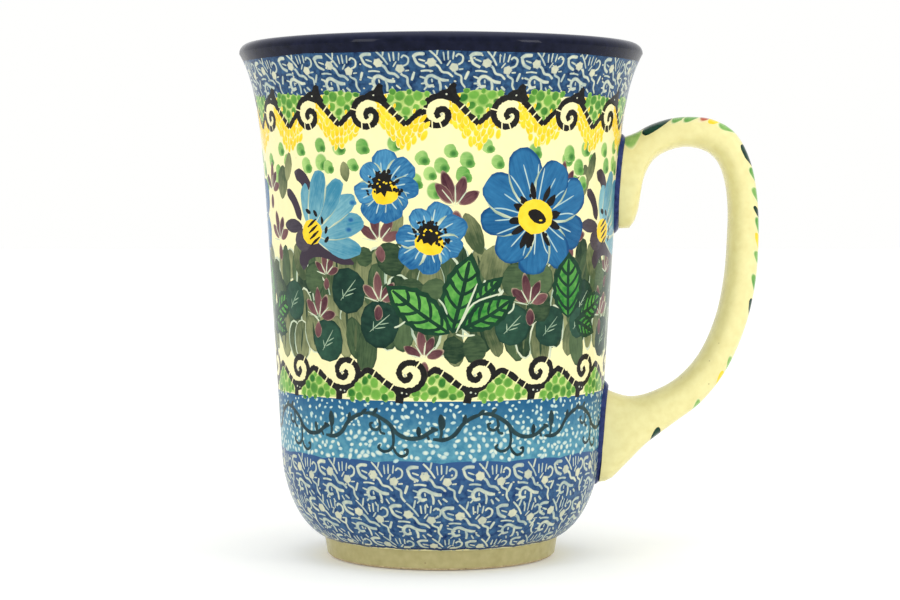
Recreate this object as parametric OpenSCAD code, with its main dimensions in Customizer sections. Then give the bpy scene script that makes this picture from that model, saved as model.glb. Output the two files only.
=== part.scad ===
// Flared stoneware mug with a foot ring and an ear-shaped strap handle.
// Units are millimetres, +Z is up and the foot stands on Z = 0. The origin is midway between
// the lip's far side and the handle's outermost point, so the cup's own axis stands at axis_x.

/* [Cup] */
// Height from the table to the top of the lip
mug_h = 120.6; // [112:0.2:130]
// Outer radius at the widest point of the lip
lip_r = 47.9; // [46:0.1:50]
// Outer radius of the straight wall, at waist_z
waist_r = 38; // [36:0.1:40]
// Height at which the straight wall has the radius waist_r
waist_z = 27; // [24:1:32]
// Outward lean of the straight wall, in millimetres of radius per millimetre of height
wall_lean = 0.0614; // [0.04:0.0001:0.08]
// How quickly the flare under the lip dies away below it
flare_fade = 8.5; // [6:0.1:11]
// Thickness of the wall, glaze included
wall_t = 4.6; // [4:0.1:6]

/* [Bowl and foot] */
// Height at which the wall starts to curve in towards the foot
bowl_top = 24; // [20:0.5:28]
// Height over which that curve would run to a full quarter turn
bowl_drop = 20; // [19.5:0.5:22]
// How far the full quarter turn would come in
bowl_in = 11.4; // [9:0.1:13]
// Height of the foot ring
foot_h = 4.6; // [4:0.1:6]
// Outer radius of the foot ring where it stands
foot_r = 27; // [26:0.1:27.5]
// Inner radius of the foot ring where it stands
foot_hole_r = 23; // [20:0.1:24]
// Depth of the recess inside the foot ring
recess_h = 1.8; // [1:0.1:2.5]
// Height of the cup's floor above the table
floor_z = 7.4; // [6.5:0.1:10]

/* [Glaze] */
// Thickness of every coat of glaze
glaze_t = 0.3; // [0.2:0.05:0.4]
// Lower edge of the lip's cobalt band outside
lip_band_z = 116.4; // [114:0.1:117.5]
// Lower edge of the lip's cobalt band inside
lip_band_in_z = 115; // [112:0.1:117]

/* [Handle] */
// Distance from the cup's axis to the handle's outermost point
handle_reach = 75.3; // [75:0.1:75.6]
// Thickness of the slip between the cup and each end of the handle
slip_t = 1.2; // [0.8:0.1:1.8]
// How far the slip shows round the handle's end
slip_rim = 0.9; // [0.5:0.1:1.4]

/* [Hidden] */
$fn = 96;

axis_x = -(handle_reach - lip_r) / 2;
roll_r = wall_t / 2;
widest_z = mug_h - roll_r;
flare_r = lip_r - (waist_r + wall_lean * (widest_z - waist_z));
recess_rise = 0.8;
foot_edge = 0.5;
corner_r = 15;
corner_reach = corner_r + 2;
wall_steps = 44;
liner_steps = 40;
lip_steps = 5;
roll_step = 15;

clay = "#d8cfa6";
cream = "#f2ecc4";
cobalt = "#1b2447";
pattern_blue = "#4a76b0";

// Outer radius of the wall without the curve in towards the foot
function straight_r(z) =
    waist_r + wall_lean * (z - waist_z) + flare_r * exp(-(widest_z - z) / flare_fade);

// How far a quarter ellipse of the given reach and drop has come in, below its top
function curve_in(z, top, reach, drop) =
    z < top ? reach * (1 - sqrt(1 - pow((top - z) / drop, 2))) : 0;

function outer_r(z) = straight_r(z) - curve_in(z, bowl_top, bowl_in, bowl_drop);

// The cup's inside follows the wall, with a rounder corner of its own at the floor
function inner_r(z) =
    straight_r(z) - wall_t - curve_in(z, floor_z + corner_r, corner_reach, corner_r);

// Heights from low to high, closer together near both ends
function heights(low, high, steps) =
    [for (i = [0:steps]) low + (high - low) * (1 - cos(180 * i / steps)) / 2];

// Lines up the outside and the inside of the wall, moved into the clay by inset
function outer_line(low, high, inset, steps) =
    [for (z = heights(low, high, steps)) [outer_r(z) - inset, z]];

function inner_line(low, high, inset, steps) =
    [for (z = heights(low, high, steps)) [inner_r(z) + inset, z]];

function reversed(list) = [for (i = [len(list) - 1:-1:0]) list[i]];

// The lip's half-round roll, from its outer side over the top to its inner side
function roll_line(inset) =
    [for (a = [roll_step:roll_step:180 - roll_step])
        [lip_r - roll_r + (roll_r - inset) * cos(a), widest_z + (roll_r - inset) * sin(a)]];

module turned(outline) {
    translate([axis_x, 0, 0]) rotate_extrude() polygon(outline);
}

// The clay cup: foot ring, bowl, wall, rolled lip and floor in one piece
module mug_body() {
    color(clay) turned(concat(
        [[0, recess_h], [foot_hole_r - recess_rise, recess_h], [foot_hole_r, 0],
         [foot_r - foot_edge, 0], [foot_r, foot_edge]],
        outer_line(foot_h, widest_z, glaze_t, wall_steps),
        roll_line(glaze_t),
        reversed(inner_line(floor_z, widest_z, glaze_t, liner_steps)),
        [[0, floor_z - glaze_t]]
    ));
}

// The clear coat that covers the painted outside, from the foot to the cobalt band
module outer_glaze() {
    color(pattern_blue) difference() {
        turned(concat(
            outer_line(foot_h, lip_band_z, 0, wall_steps),
            reversed(outer_line(foot_h, lip_band_z, glaze_t, wall_steps))
        ));
        joint_prism(upper_joint_z, upper_joint_h);
        joint_prism(lower_joint_z, lower_joint_h);
    }
}

// The cobalt coat that wraps over the lip
module lip_glaze() {
    color(cobalt) turned(concat(
        outer_line(lip_band_z, widest_z, 0, lip_steps),
        roll_line(0),
        reversed(inner_line(lip_band_in_z, widest_z, 0, lip_steps)),
        inner_line(lip_band_in_z, widest_z, glaze_t, lip_steps),
        reversed(roll_line(glaze_t)),
        reversed(outer_line(lip_band_z, widest_z, glaze_t, lip_steps))
    ));
}

// The cream coat that lines the inside, from the cobalt band down to the floor
module liner_glaze() {
    color(cream) turned(concat(
        [[0, floor_z - glaze_t]],
        inner_line(floor_z, lip_band_in_z, glaze_t, liner_steps),
        reversed(inner_line(floor_z, lip_band_in_z, 0, liner_steps)),
        [[0, floor_z]]
    ));
}

// The handle's stations, from the top joint round to the bottom one. Each gives the strap's
// outer edge (distance from the cup's axis, height), its inner edge, and its width.
stations = [
    [[38.0, 97.6], [38.0, 78.2], 16.5],
    [[43.0, 98.6], [44.2, 76.8], 16.5],
    [[46.4, 99.8], [46.6, 80.6], 16.0],
    [[50.0, 101.7], [47.6, 87.6], 15.0],
    [[54.5, 103.1], [50.6, 93.4], 14.4],
    [[59.6, 103.5], [56.4, 96.2], 14.0],
    [[65.0, 102.7], [61.8, 95.9], 14.0],
    [[70.0, 99.4], [65.6, 93.4], 14.0],
    [[73.4, 92.8], [67.6, 88.6], 14.0],
    [[75.0, 84.2], [68.4, 82.2], 14.0],
    [[handle_reach, 74.5], [68.2, 74.0], 14.0],
    [[74.5, 64.0], [67.4, 64.8], 14.0],
    [[72.2, 54.0], [65.4, 55.6], 14.0],
    [[68.0, 44.2], [61.6, 47.2], 14.0],
    [[62.0, 36.2], [56.4, 41.4], 14.2],
    [[55.0, 30.8], [50.6, 38.2], 14.8],
    [[48.6, 26.0], [45.6, 37.0], 15.8],
    [[43.4, 20.8], [41.6, 37.8], 16.8],
    [[39.4, 17.2], [37.4, 39.6], 17.0],
    [[35.0, 17.0], [33.0, 40.4], 17.0]
];
// Rings in each gap between stations, and points round each ring
ring_steps = 3;
ring_points = 24;

// A point on the smooth curve through four neighbouring values, at share u between b and c
function smooth_between(a, b, c, d, u) =
    0.5 * (2 * b + (c - a) * u + (2 * a - 5 * b + 4 * c - d) * u * u
        + (3 * b - a - 3 * c + d) * u * u * u);

function station_at(i) = stations[max(0, min(len(stations) - 1, i))];

function smooth_station(i, u) = [for (k = [0:2])
    smooth_between(station_at(i - 1)[k], station_at(i)[k], station_at(i + 1)[k],
                   station_at(i + 2)[k], u)];

all_stations = concat(
    [for (i = [0:len(stations) - 2], s = [0:ring_steps - 1]) smooth_station(i, s / ring_steps)],
    [stations[len(stations) - 1]]
);

// A rounded outline: squarer on its outer half, rounder on its inner half
outer_square = 2 / 3.2;
inner_square = 2 / 2.2;
function signed_power(v, p) = sign(v) * pow(abs(v), p);
function rounded_point(a, half_w, half_t) = [
    half_w * signed_power(cos(a), a <= 180 ? outer_square : inner_square),
    half_t * signed_power(sin(a), a <= 180 ? outer_square : inner_square)
];

// One cross-section of the strap, in the plane through its outer and inner edges
function strap_ring(station, inset) =
    let (
        middle = (station[0] + station[1]) / 2,
        across = station[0] - station[1],
        half_t = norm(across) / 2,
        way = across / norm(across)
    )
    [for (k = [0:ring_points - 1])
        let (p = rounded_point(360 * k / ring_points, station[2] / 2 - inset, half_t - inset))
        [axis_x + middle[0] + way[0] * p[1], p[0], middle[1] + way[1] * p[1]]];

function side_faces(rings, start) =
    [for (i = [0:rings - 2], k = [0:ring_points - 1])
        let (n = (k + 1) % ring_points, a = start + i * ring_points, b = a + ring_points)
        each [[a + k, b + k, b + n], [a + k, b + n, a + n]]];

function flipped(faces) = [for (f = faces) reversed(f)];

module strap(inset) {
    rings = len(all_stations);
    last = (rings - 1) * ring_points;
    polyhedron(
        points = [for (s = all_stations) each strap_ring(s, inset)],
        faces = concat(
            side_faces(rings, 0),
            [[for (k = [0:ring_points - 1]) k]],
            [[for (k = [ring_points - 1:-1:0]) last + k]]
        )
    );
}

// The same strap as a thin tube: the glaze coat round the clay
module strap_coat() {
    rings = len(all_stations);
    inner = rings * ring_points;
    last = (rings - 1) * ring_points;
    polyhedron(
        points = concat(
            [for (s = all_stations) each strap_ring(s, 0)],
            [for (s = all_stations) each strap_ring(s, glaze_t)]
        ),
        faces = concat(
            side_faces(rings, 0),
            flipped(side_faces(rings, inner)),
            [for (k = [0:ring_points - 1])
                let (n = (k + 1) % ring_points)
                each [[k, n, inner + n], [k, inner + n, inner + k]]],
            [for (k = [0:ring_points - 1])
                let (n = (k + 1) % ring_points)
                each [[last + n, last + k, inner + last + k],
                      [last + n, inner + last + k, inner + last + n]]]
        )
    );
}

// The space that the cup takes up, grown outwards, to trim what is stuck on to it
module cup_space(grow) {
    turned(concat([[0, 0]], outer_line(foot_h, lip_band_z, glaze_t - grow, wall_steps), [[0, lip_band_z]]));
}

// Heights of the middle of each joint, and half the height of its slip
upper_joint_z = 87.6;
upper_joint_h = 11.9;
lower_joint_z = 28.4;
lower_joint_h = 12.4;
joint_half_w = 8.5;

module joint_prism(z, half_h) {
    translate([axis_x, 0, z]) rotate([90, 0, 90]) linear_extrude(lip_r)
        polygon([for (k = [0:ring_points - 1])
            rounded_point(360 * k / ring_points, joint_half_w + slip_rim, half_h)]);
}

// Slip, a clay paste, that fixes one end of the handle to the cup
module slip_joint(z, half_h) {
    color(cobalt) intersection() {
        joint_prism(z, half_h);
        difference() {
            cup_space(slip_t);
            cup_space(0);
        }
    }
}

module upper_slip_joint() {
    slip_joint(upper_joint_z, upper_joint_h);
}

module lower_slip_joint() {
    slip_joint(lower_joint_z, lower_joint_h);
}

// The clay strap, trimmed at both ends to the slip it sits on
module handle() {
    color(clay) difference() {
        strap(glaze_t);
        cup_space(slip_t);
    }
}

module handle_glaze() {
    color(cream) difference() {
        strap_coat();
        cup_space(slip_t);
    }
}

mug_body();
handle();
upper_slip_joint();
lower_slip_joint();
outer_glaze();
handle_glaze();
lip_glaze();
liner_glaze();
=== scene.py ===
# %% [markdown]
# # A stoneware mug, stamped and brushed under its glaze
# The object is a flared mug of buff stoneware with an ear-shaped strap handle. It is made of eight
# things: the turned cup, the strap handle, two pads of slip that fix the handle on, and four coats
# of glaze. The shape is simple and comes from the frame. What makes the mug is its decoration, so
# most of this lesson is about drawing stamps and brush marks and wrapping them round the wall.

# %% The frame
import math
import bmesh
import bpy
import numpy as np
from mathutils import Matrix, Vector
from mathutils.geometry import delaunay_2d_cdt


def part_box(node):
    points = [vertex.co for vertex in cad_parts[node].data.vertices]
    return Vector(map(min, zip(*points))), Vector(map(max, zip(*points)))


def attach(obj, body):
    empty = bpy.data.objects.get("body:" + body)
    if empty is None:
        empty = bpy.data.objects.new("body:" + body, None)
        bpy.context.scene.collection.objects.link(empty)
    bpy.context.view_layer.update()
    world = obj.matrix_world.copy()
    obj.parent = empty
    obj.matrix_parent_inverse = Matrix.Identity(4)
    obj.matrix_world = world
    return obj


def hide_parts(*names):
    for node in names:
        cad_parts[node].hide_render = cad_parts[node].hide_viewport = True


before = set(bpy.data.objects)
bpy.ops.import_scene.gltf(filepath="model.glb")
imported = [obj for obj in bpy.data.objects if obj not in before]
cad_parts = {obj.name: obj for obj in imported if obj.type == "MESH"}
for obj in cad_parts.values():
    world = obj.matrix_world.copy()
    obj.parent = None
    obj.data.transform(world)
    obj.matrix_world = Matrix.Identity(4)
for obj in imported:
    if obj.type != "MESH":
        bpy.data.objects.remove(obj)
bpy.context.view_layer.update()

MM = 0.001
rng = np.random.default_rng(11)
print("nodes:", sorted(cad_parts))

# %% [markdown]
# ## The sizes that every piece shares
# The wall leans out a little, flares under the lip and turns in at the foot. One formula gives the
# wall's radius at any height, so every coat, stamp and joint can be put on it exactly. Everything
# is worked out in millimetres and becomes metres when a mesh is made.

# %% The wall's outline
lip_low, lip_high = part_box("lip_glaze")
skin_low, skin_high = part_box("outer_glaze")
AXIS_X = round((lip_low.x + lip_high.x) / 2 / MM, 2)
LIP_R = round((lip_high.x - lip_low.x) / 2 / MM, 1)
MUG_H = round(lip_high.z / MM, 1)
LIP_IN_Z = round(lip_low.z / MM, 1)
FOOT_H = round(skin_low.z / MM, 1)
SKIN_TOP = round(skin_high.z / MM, 1)
WALL_T = 4.6
GLAZE_T = 0.3
WAIST_R = 38.0
WAIST_Z = 27.0
WALL_LEAN = 0.0614
FLARE_FADE = 8.5
BOWL_TOP = 24.0
BOWL_DROP = 20.0
BOWL_IN = 11.4
FLOOR_Z = 7.4
CORNER_R = 15.0
FOOT_R = 27.0
FOOT_HOLE_R = 23.0
RECESS_H = 1.8
ROLL_R = WALL_T / 2
WIDEST_Z = MUG_H - ROLL_R
FLARE_R = LIP_R - (WAIST_R + WALL_LEAN * (WIDEST_Z - WAIST_Z))


def straight_r(z):
    return WAIST_R + WALL_LEAN * (z - WAIST_Z) + FLARE_R * np.exp((z - WIDEST_Z) / FLARE_FADE)


def curve_in(z, top, reach, drop):
    depth = np.clip((top - z) / drop, 0, 1)
    return reach * (1 - np.sqrt(1 - depth ** 2))


def outer_r(z):
    return straight_r(z) - curve_in(z, BOWL_TOP, BOWL_IN, BOWL_DROP)


def inner_r(z):
    return straight_r(z) - WALL_T - curve_in(z, FLOOR_Z + CORNER_R, CORNER_R + 2, CORNER_R)


print("axis", AXIS_X, "lip", LIP_R, "height", MUG_H, "skin", FOOT_H, "to", SKIN_TOP)

# %% [markdown]
# ## Camera, floor and light
# The camera stands about half a metre in front of the mug, a little below the lip, and looks level.
# The floor and the surroundings are plain and pale, and three soft lights stand in for a light
# tent. The floor lies a hair below the foot, so that the two never share a plane. The plain view
# transform keeps the glaze colours as they are mixed.

# %% Camera, floor and lights
EYE = Vector((AXIS_X * MM, -0.526, 0.0847))


def camera():
    data = bpy.data.cameras.new("camera")
    data.sensor_width = 36
    data.lens = 88.3
    data.shift_x = 0.010
    data.shift_y = -0.1156
    data.clip_start = 0.01
    made = bpy.data.objects.new("camera", data)
    bpy.context.collection.objects.link(made)
    made.location = EYE
    made.rotation_euler = (math.pi / 2, 0, 0)
    bpy.context.scene.camera = made


def soft_light(name, place, size, power):
    data = bpy.data.lights.new(name, "AREA")
    data.size = size
    data.energy = power
    made = bpy.data.objects.new(name, data)
    bpy.context.collection.objects.link(made)
    made.location = place
    made.rotation_euler = (Vector((0, 0, 0.06)) - Vector(place)).to_track_quat("-Z", "Y").to_euler()


def surroundings():
    world = bpy.data.worlds.new("tent")
    bpy.context.scene.world = world
    world.use_nodes = True
    back = world.node_tree.nodes["Background"]
    back.inputs["Color"].default_value = (1.0, 1.0, 0.99, 1)
    back.inputs["Strength"].default_value = 1.0


camera()
surroundings()
soft_light("key_left", (-0.9, -0.9, 0.7), 0.3, 1.7)
soft_light("key_right", (1.0, -0.8, 0.6), 0.3, 2.2)
soft_light("top", (0.1, -0.1, 1.2), 1.0, 2.5)
bpy.context.scene.view_settings.view_transform = "Standard"
print("camera at", [round(c, 3) for c in EYE])

# %% Floor
bpy.ops.object.select_all(action="DESELECT")
FLOOR_WIDE = 6
FLOOR_DROP = 0.0002
bpy.ops.mesh.primitive_plane_add(size=FLOOR_WIDE, location=(0, 0, -FLOOR_DROP))
floor = bpy.context.object
floor.name = "floor"
paper = bpy.data.materials.new("pale_floor")
paper.use_nodes = True
paper_shader = paper.node_tree.nodes["Principled BSDF"]
paper_shader.inputs["Base Color"].default_value = (0.97, 0.97, 0.95, 1)
paper_shader.inputs["Roughness"].default_value = 0.8
paper_shader.inputs["Emission Color"].default_value = (1, 1, 0.98, 1)
paper_shader.inputs["Emission Strength"].default_value = 0.09
floor.data.materials.append(paper)
print("a floor", FLOOR_WIDE, "m wide")

# %% [markdown]
# ## Inks and glaze
# The colours are painted on the fired clay and covered with one clear glaze, so all the glazed faces
# have the same gloss and only the colour under it changes. A brush mark isn't even: it is darker where
# the ink pooled, it has streaks along the stroke, and its edge bleeds a little into the ground. The
# meshes carry a map called brush, which says how far along and across its mark each point lies, and
# a map called dip, which says how full the brush was. One function mixes every ink from these.

# %% A short way to add shader nodes


def srgb(r, g, b):
    """A colour given as it looks, from 0 to 255, turned into the linear one that shaders use."""
    return tuple((c / 255 / 12.92) if c < 11 else ((c / 255 + 0.055) / 1.055) ** 2.4
                 for c in (r, g, b)) + (1.0,)


def node(tree, kind, inputs=(), **settings):
    made = tree.nodes.new("ShaderNode" + kind)
    for name, value in settings.items():
        setattr(made, name, value)
    for name, value in dict(inputs).items():
        if isinstance(value, bpy.types.NodeSocket):
            tree.links.new(value, made.inputs[name])
        else:
            made.inputs[name].default_value = value
    return made


def sums(tree, value, times, plus):
    made = node(tree, "Math", {0: value, 1: times, 2: plus}, operation="MULTIPLY_ADD")
    return made.outputs[0]


def mixed(tree, share, first, second):
    made = node(tree, "Mix", {0: share, 6: first, 7: second}, data_type="RGBA")
    return made.outputs[2]


def spread(tree, value, low, high, to_low, to_high):
    made = node(tree, "MapRange", {0: value, 1: low, 2: high, 3: to_low, 4: to_high},
                interpolation_type="SMOOTHSTEP")
    return made.outputs[0]


def fresh(name):
    material = bpy.data.materials.new(name)
    material.use_nodes = True
    return material, material.node_tree, material.node_tree.nodes["Principled BSDF"]


def noise(tree, where, scale, detail=4.0):
    made = node(tree, "TexNoise", {"Vector": where, "Scale": scale, "Detail": detail})
    return made.outputs["Fac"]


def gloss(tree, shader, where, waves=0.12):
    """Clear glaze over whatever is painted: glossy, with the faint orange-peel of a kiln finish."""
    tree.links.new(spread(tree, noise(tree, where, 90), 0.35, 0.7, 0.20, 0.34),
                   shader.inputs["Roughness"])
    shader.inputs["Coat Weight"].default_value = 0.3
    shader.inputs["Coat Roughness"].default_value = 0.06
    shader.inputs["Coat IOR"].default_value = 1.32
    shader.inputs["Specular IOR Level"].default_value = 0.03
    bump = node(tree, "Bump", {"Strength": waves, "Distance": 0.0004,
                               "Height": noise(tree, where, 260, 2.0)})
    tree.links.new(bump.outputs[0], shader.inputs["Normal"])
    tree.links.new(bump.outputs[0], shader.inputs["Coat Normal"])


# %% Inks
CREAM = srgb(246, 240, 188)
INKS = {}


def ink(name, light, dark, grain=0.3, streak=0.0, tip=0.0, dip=0.2, soft=0.0, into=CREAM,
        line=False, rise=None, speck=0.0, size=520):
    """An ink from light to dark. grain clouds it and size says how finely, streak and tip follow
    the brush, and dip changes it from mark to mark. soft is the share of the mark at its edge that
    bleeds into the ground, and line says that the mark is a long stroke, with soft sides only. rise
    is two heights and the ink it becomes above them, and speck adds the clay's iron spots."""
    material, tree, shader = fresh(name)
    where = node(tree, "TexCoord").outputs["Object"]
    brush = node(tree, "UVMap", uv_map="brush").outputs[0]
    load = node(tree, "SeparateXYZ", {0: node(tree, "UVMap", uv_map="dip").outputs[0]}).outputs[0]
    parts = node(tree, "SeparateXYZ", {0: brush})
    shade = sums(tree, noise(tree, where, size, 6.0), 2 * grain, 0.5 - grain - streak - dip)
    shade = sums(tree, load, 2 * dip, shade)
    if streak:
        shifted = node(tree, "CombineXYZ", {0: sums(tree, load, 31.0, parts.outputs[0]),
                                            1: sums(tree, parts.outputs[1], 5.0, 0.0),
                                            2: sums(tree, load, 17.0, 0.0)})
        shade = sums(tree, noise(tree, shifted.outputs[0], 1.3, 3.0), 2 * streak, shade)
    if tip:
        shade = sums(tree, parts.outputs[0], tip, shade)
    held = node(tree, "Clamp", {0: shade}).outputs[0]
    colour = mixed(tree, held, dark, light)
    if rise:
        low, high, above = rise
        height = node(tree, "SeparateXYZ", {0: where}).outputs[2]
        colour = mixed(tree, spread(tree, height, low * MM, high * MM, 0.0, 1.0), colour, above)
    if soft:
        if line:
            edge = node(tree, "Math", {0: parts.outputs[1]}, operation="ABSOLUTE").outputs[0]
        else:
            edge = node(tree, "VectorMath", {0: brush}, operation="LENGTH").outputs["Value"]
        colour = mixed(tree, spread(tree, edge, 1 - soft, 1.05, 0.0, 0.85), colour, into)
    if speck:
        spots = node(tree, "TexVoronoi", {"Vector": where, "Scale": 260.0}).outputs["Distance"]
        colour = mixed(tree, spread(tree, spots, 0.03, 0.07, speck, 0.0), colour, srgb(120, 96, 62))
    tree.links.new(colour, shader.inputs["Base Color"])
    gloss(tree, shader, where)
    INKS[name] = material
    return material


RIM_BLUE = srgb(46, 88, 128)
ink("cream", CREAM, srgb(234, 226, 170), grain=0.25, speck=0.25)
ink("pale_line", srgb(222, 224, 192), srgb(180, 198, 172), grain=0.3, soft=0.3, into=srgb(130, 160, 140),
    line=True)
ink("rim_blue", srgb(54, 94, 132), srgb(8, 36, 74), grain=1.25, dip=0.0, size=900)
ink("base_blue", srgb(64, 104, 142), srgb(16, 44, 92), grain=1.1, dip=0.0, size=900,
    rise=(17, 28, srgb(48, 84, 132)))
ink("base_edge", srgb(40, 66, 112), srgb(18, 36, 80), grain=0.6, soft=0.2, into=srgb(60, 96, 140), line=True)
ink("rim_line", srgb(216, 218, 190), srgb(148, 170, 168), grain=0.8, soft=0.5, into=RIM_BLUE, line=True,
    size=900)
ink("rim_blot", srgb(218, 216, 184), srgb(176, 184, 168), grain=0.6, soft=0.3, into=RIM_BLUE, size=900)
ink("scroll_black", srgb(38, 38, 36), srgb(12, 12, 16), grain=0.7, soft=0.2, into=srgb(84, 80, 62),
    line=True, size=1200)
ink("yellow", srgb(254, 224, 62), srgb(244, 192, 10), grain=0.5, streak=0.3, tip=-0.25, soft=0.3)
ink("yellow_wash", srgb(252, 224, 70), srgb(240, 196, 20), grain=0.7)
ink("mosaic", srgb(116, 174, 70), srgb(44, 112, 42), grain=0.5, dip=0.5, soft=0.35,
    into=srgb(150, 188, 96))
ink("mosaic_line", srgb(222, 228, 150), srgb(140, 184, 84), grain=0.8)
ink("light_green", srgb(172, 208, 124), srgb(88, 154, 68), grain=0.45, streak=0.25, tip=-0.3, dip=0.35,
    soft=0.2)
ink("press_green", srgb(80, 142, 62), srgb(38, 100, 42), grain=0.4, soft=0.8, into=srgb(124, 178, 90))
ink("deep_blue", srgb(48, 116, 162), srgb(8, 72, 120), grain=0.35, streak=0.6, tip=0.1, dip=0.2,
    soft=0.1, into=srgb(10, 66, 116))
ink("mid_blue", srgb(80, 148, 186), srgb(14, 82, 134), grain=0.4, streak=0.7, tip=-0.1, dip=0.3,
    soft=0.12, into=srgb(34, 98, 148))
ink("pale_blue", srgb(138, 188, 194), srgb(58, 130, 158), grain=0.4, streak=0.5, tip=-0.3, dip=0.35,
    soft=0.12, into=srgb(92, 152, 172))
ink("blue_pool", srgb(44, 108, 158), srgb(24, 84, 138), grain=0.4, soft=0.8, into=srgb(90, 154, 178))
ink("petal_line", srgb(206, 220, 204), srgb(140, 182, 194), grain=0.5, soft=0.5,
    into=srgb(84, 140, 170), line=True)
ink("flower_black", srgb(34, 32, 30), srgb(10, 10, 10), grain=0.4)
ink("plum", srgb(124, 84, 84), srgb(66, 32, 44), grain=0.4, streak=0.45, tip=-0.3, dip=0.3, soft=0.25,
    into=srgb(190, 168, 142))
ink("smoke", srgb(86, 78, 86), srgb(44, 38, 52), grain=0.35, streak=0.4, dip=0.2, soft=0.18,
    into=srgb(58, 48, 60))
ink("olive", srgb(146, 150, 106), srgb(62, 80, 52), grain=0.4, streak=0.5, tip=-0.3, dip=0.45,
    soft=0.16, into=srgb(86, 98, 66))
ink("moss", srgb(86, 108, 72), srgb(26, 52, 36), grain=0.4, streak=0.45, dip=0.4, soft=0.16,
    into=srgb(34, 58, 40))
ink("leaf_dark", srgb(46, 84, 66), srgb(12, 42, 36), grain=0.6, streak=0.25, dip=0.25, soft=0.14,
    into=srgb(12, 42, 34))
ink("leaf_rim", srgb(30, 74, 48), srgb(8, 38, 30), grain=0.5, dip=0.1)
ink("leaf_green", srgb(112, 178, 84), srgb(30, 118, 44), grain=0.7, streak=0.35, tip=0.15, dip=0.25,
    soft=0.12, into=srgb(40, 100, 46), size=800)
ink("vein", srgb(186, 204, 172), srgb(120, 154, 130), grain=0.4, soft=0.5, into=srgb(70, 106, 84),
    line=True)
ink("vine", srgb(50, 76, 78), srgb(16, 36, 44), grain=0.6, soft=0.3, into=srgb(44, 84, 104), line=True)
ink("dotted_blue", srgb(102, 162, 178), srgb(42, 110, 142), grain=0.9, dip=0.0, size=700,
    rise=(28, 41, srgb(26, 86, 128)))
ink("dot", srgb(222, 228, 206), srgb(176, 204, 200), grain=0.4, dip=0.3, soft=0.6,
    into=srgb(96, 156, 180))
ink("red", srgb(206, 100, 60), srgb(166, 64, 40), grain=0.4, soft=0.35)
ink("cobalt", srgb(22, 26, 50), srgb(3, 8, 26), grain=0.9, dip=0.0, rise=(118.6, 121.2, srgb(52, 56, 78)))
ink("slip_blue", srgb(52, 68, 124), srgb(14, 24, 66), grain=0.9, dip=0.0, size=900)
# The handle's and the liner's cream: the wall's cream glaze set darker and yellower, which is painted shade.
ink("handle_cream", srgb(243, 236, 176), srgb(226, 215, 150), grain=0.6, speck=0.4)
# The foot's glazed side: the cream glaze set much darker, which is painted shade under the bowl.
ink("shaded_foot_cream", srgb(204, 196, 146), srgb(168, 158, 108), grain=0.5, speck=0.5)


def bare_clay():
    """Unglazed stoneware: dull, gritty, with iron specks."""
    material, tree, shader = fresh("bare_clay")
    where = node(tree, "TexCoord").outputs["Object"]
    grit = noise(tree, where, 1400, 5.0)
    colour = mixed(tree, spread(tree, grit, 0.35, 0.7, 0.0, 1.0), srgb(178, 158, 118), srgb(214, 198, 158))
    spots = node(tree, "TexVoronoi", {"Vector": where, "Scale": 420.0}).outputs["Distance"]
    colour = mixed(tree, spread(tree, spots, 0.05, 0.14, 0.7, 0.0), colour, srgb(104, 78, 52))
    tree.links.new(colour, shader.inputs["Base Color"])
    tree.links.new(spread(tree, grit, 0.3, 0.7, 0.72, 0.92), shader.inputs["Roughness"])
    bump = node(tree, "Bump", {"Strength": 0.5, "Distance": 0.0003, "Height": grit})
    tree.links.new(bump.outputs[0], shader.inputs["Normal"])
    INKS["bare_clay"] = material


bare_clay()
print(len(INKS), "inks")

# %% [markdown]
# ## A flat sheet to paint on
# Painting on a curved wall is easiest on a flat sheet that is wrapped round it afterwards, as a
# printed transfer is. Every mark is an outline on the sheet, and the sheet is cut
# into triangles along all the outlines at once, so a mark's edge stays crisp at any size. An
# operator can't cut thousands of outlines into one skin, so here the mesh is written directly.

# %% The sheet
FLAT_R = 41.0
GRID = 2.5


def encloses(outline, spots):
    """Which spots lie inside an outline: a ray from them crosses it an odd number of times."""
    a = outline[None]
    b = np.roll(outline, -1, axis=0)[None]
    x, y = spots[:, :1], spots[:, 1:]
    crosses = (a[..., 1] > y) != (b[..., 1] > y)
    rise = np.where(crosses, b[..., 1] - a[..., 1], 1.0)
    meets = a[..., 0] + (y - a[..., 1]) / rise * (b[..., 0] - a[..., 0])
    return (crosses & (x < meets)).sum(1) % 2 == 1


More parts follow.
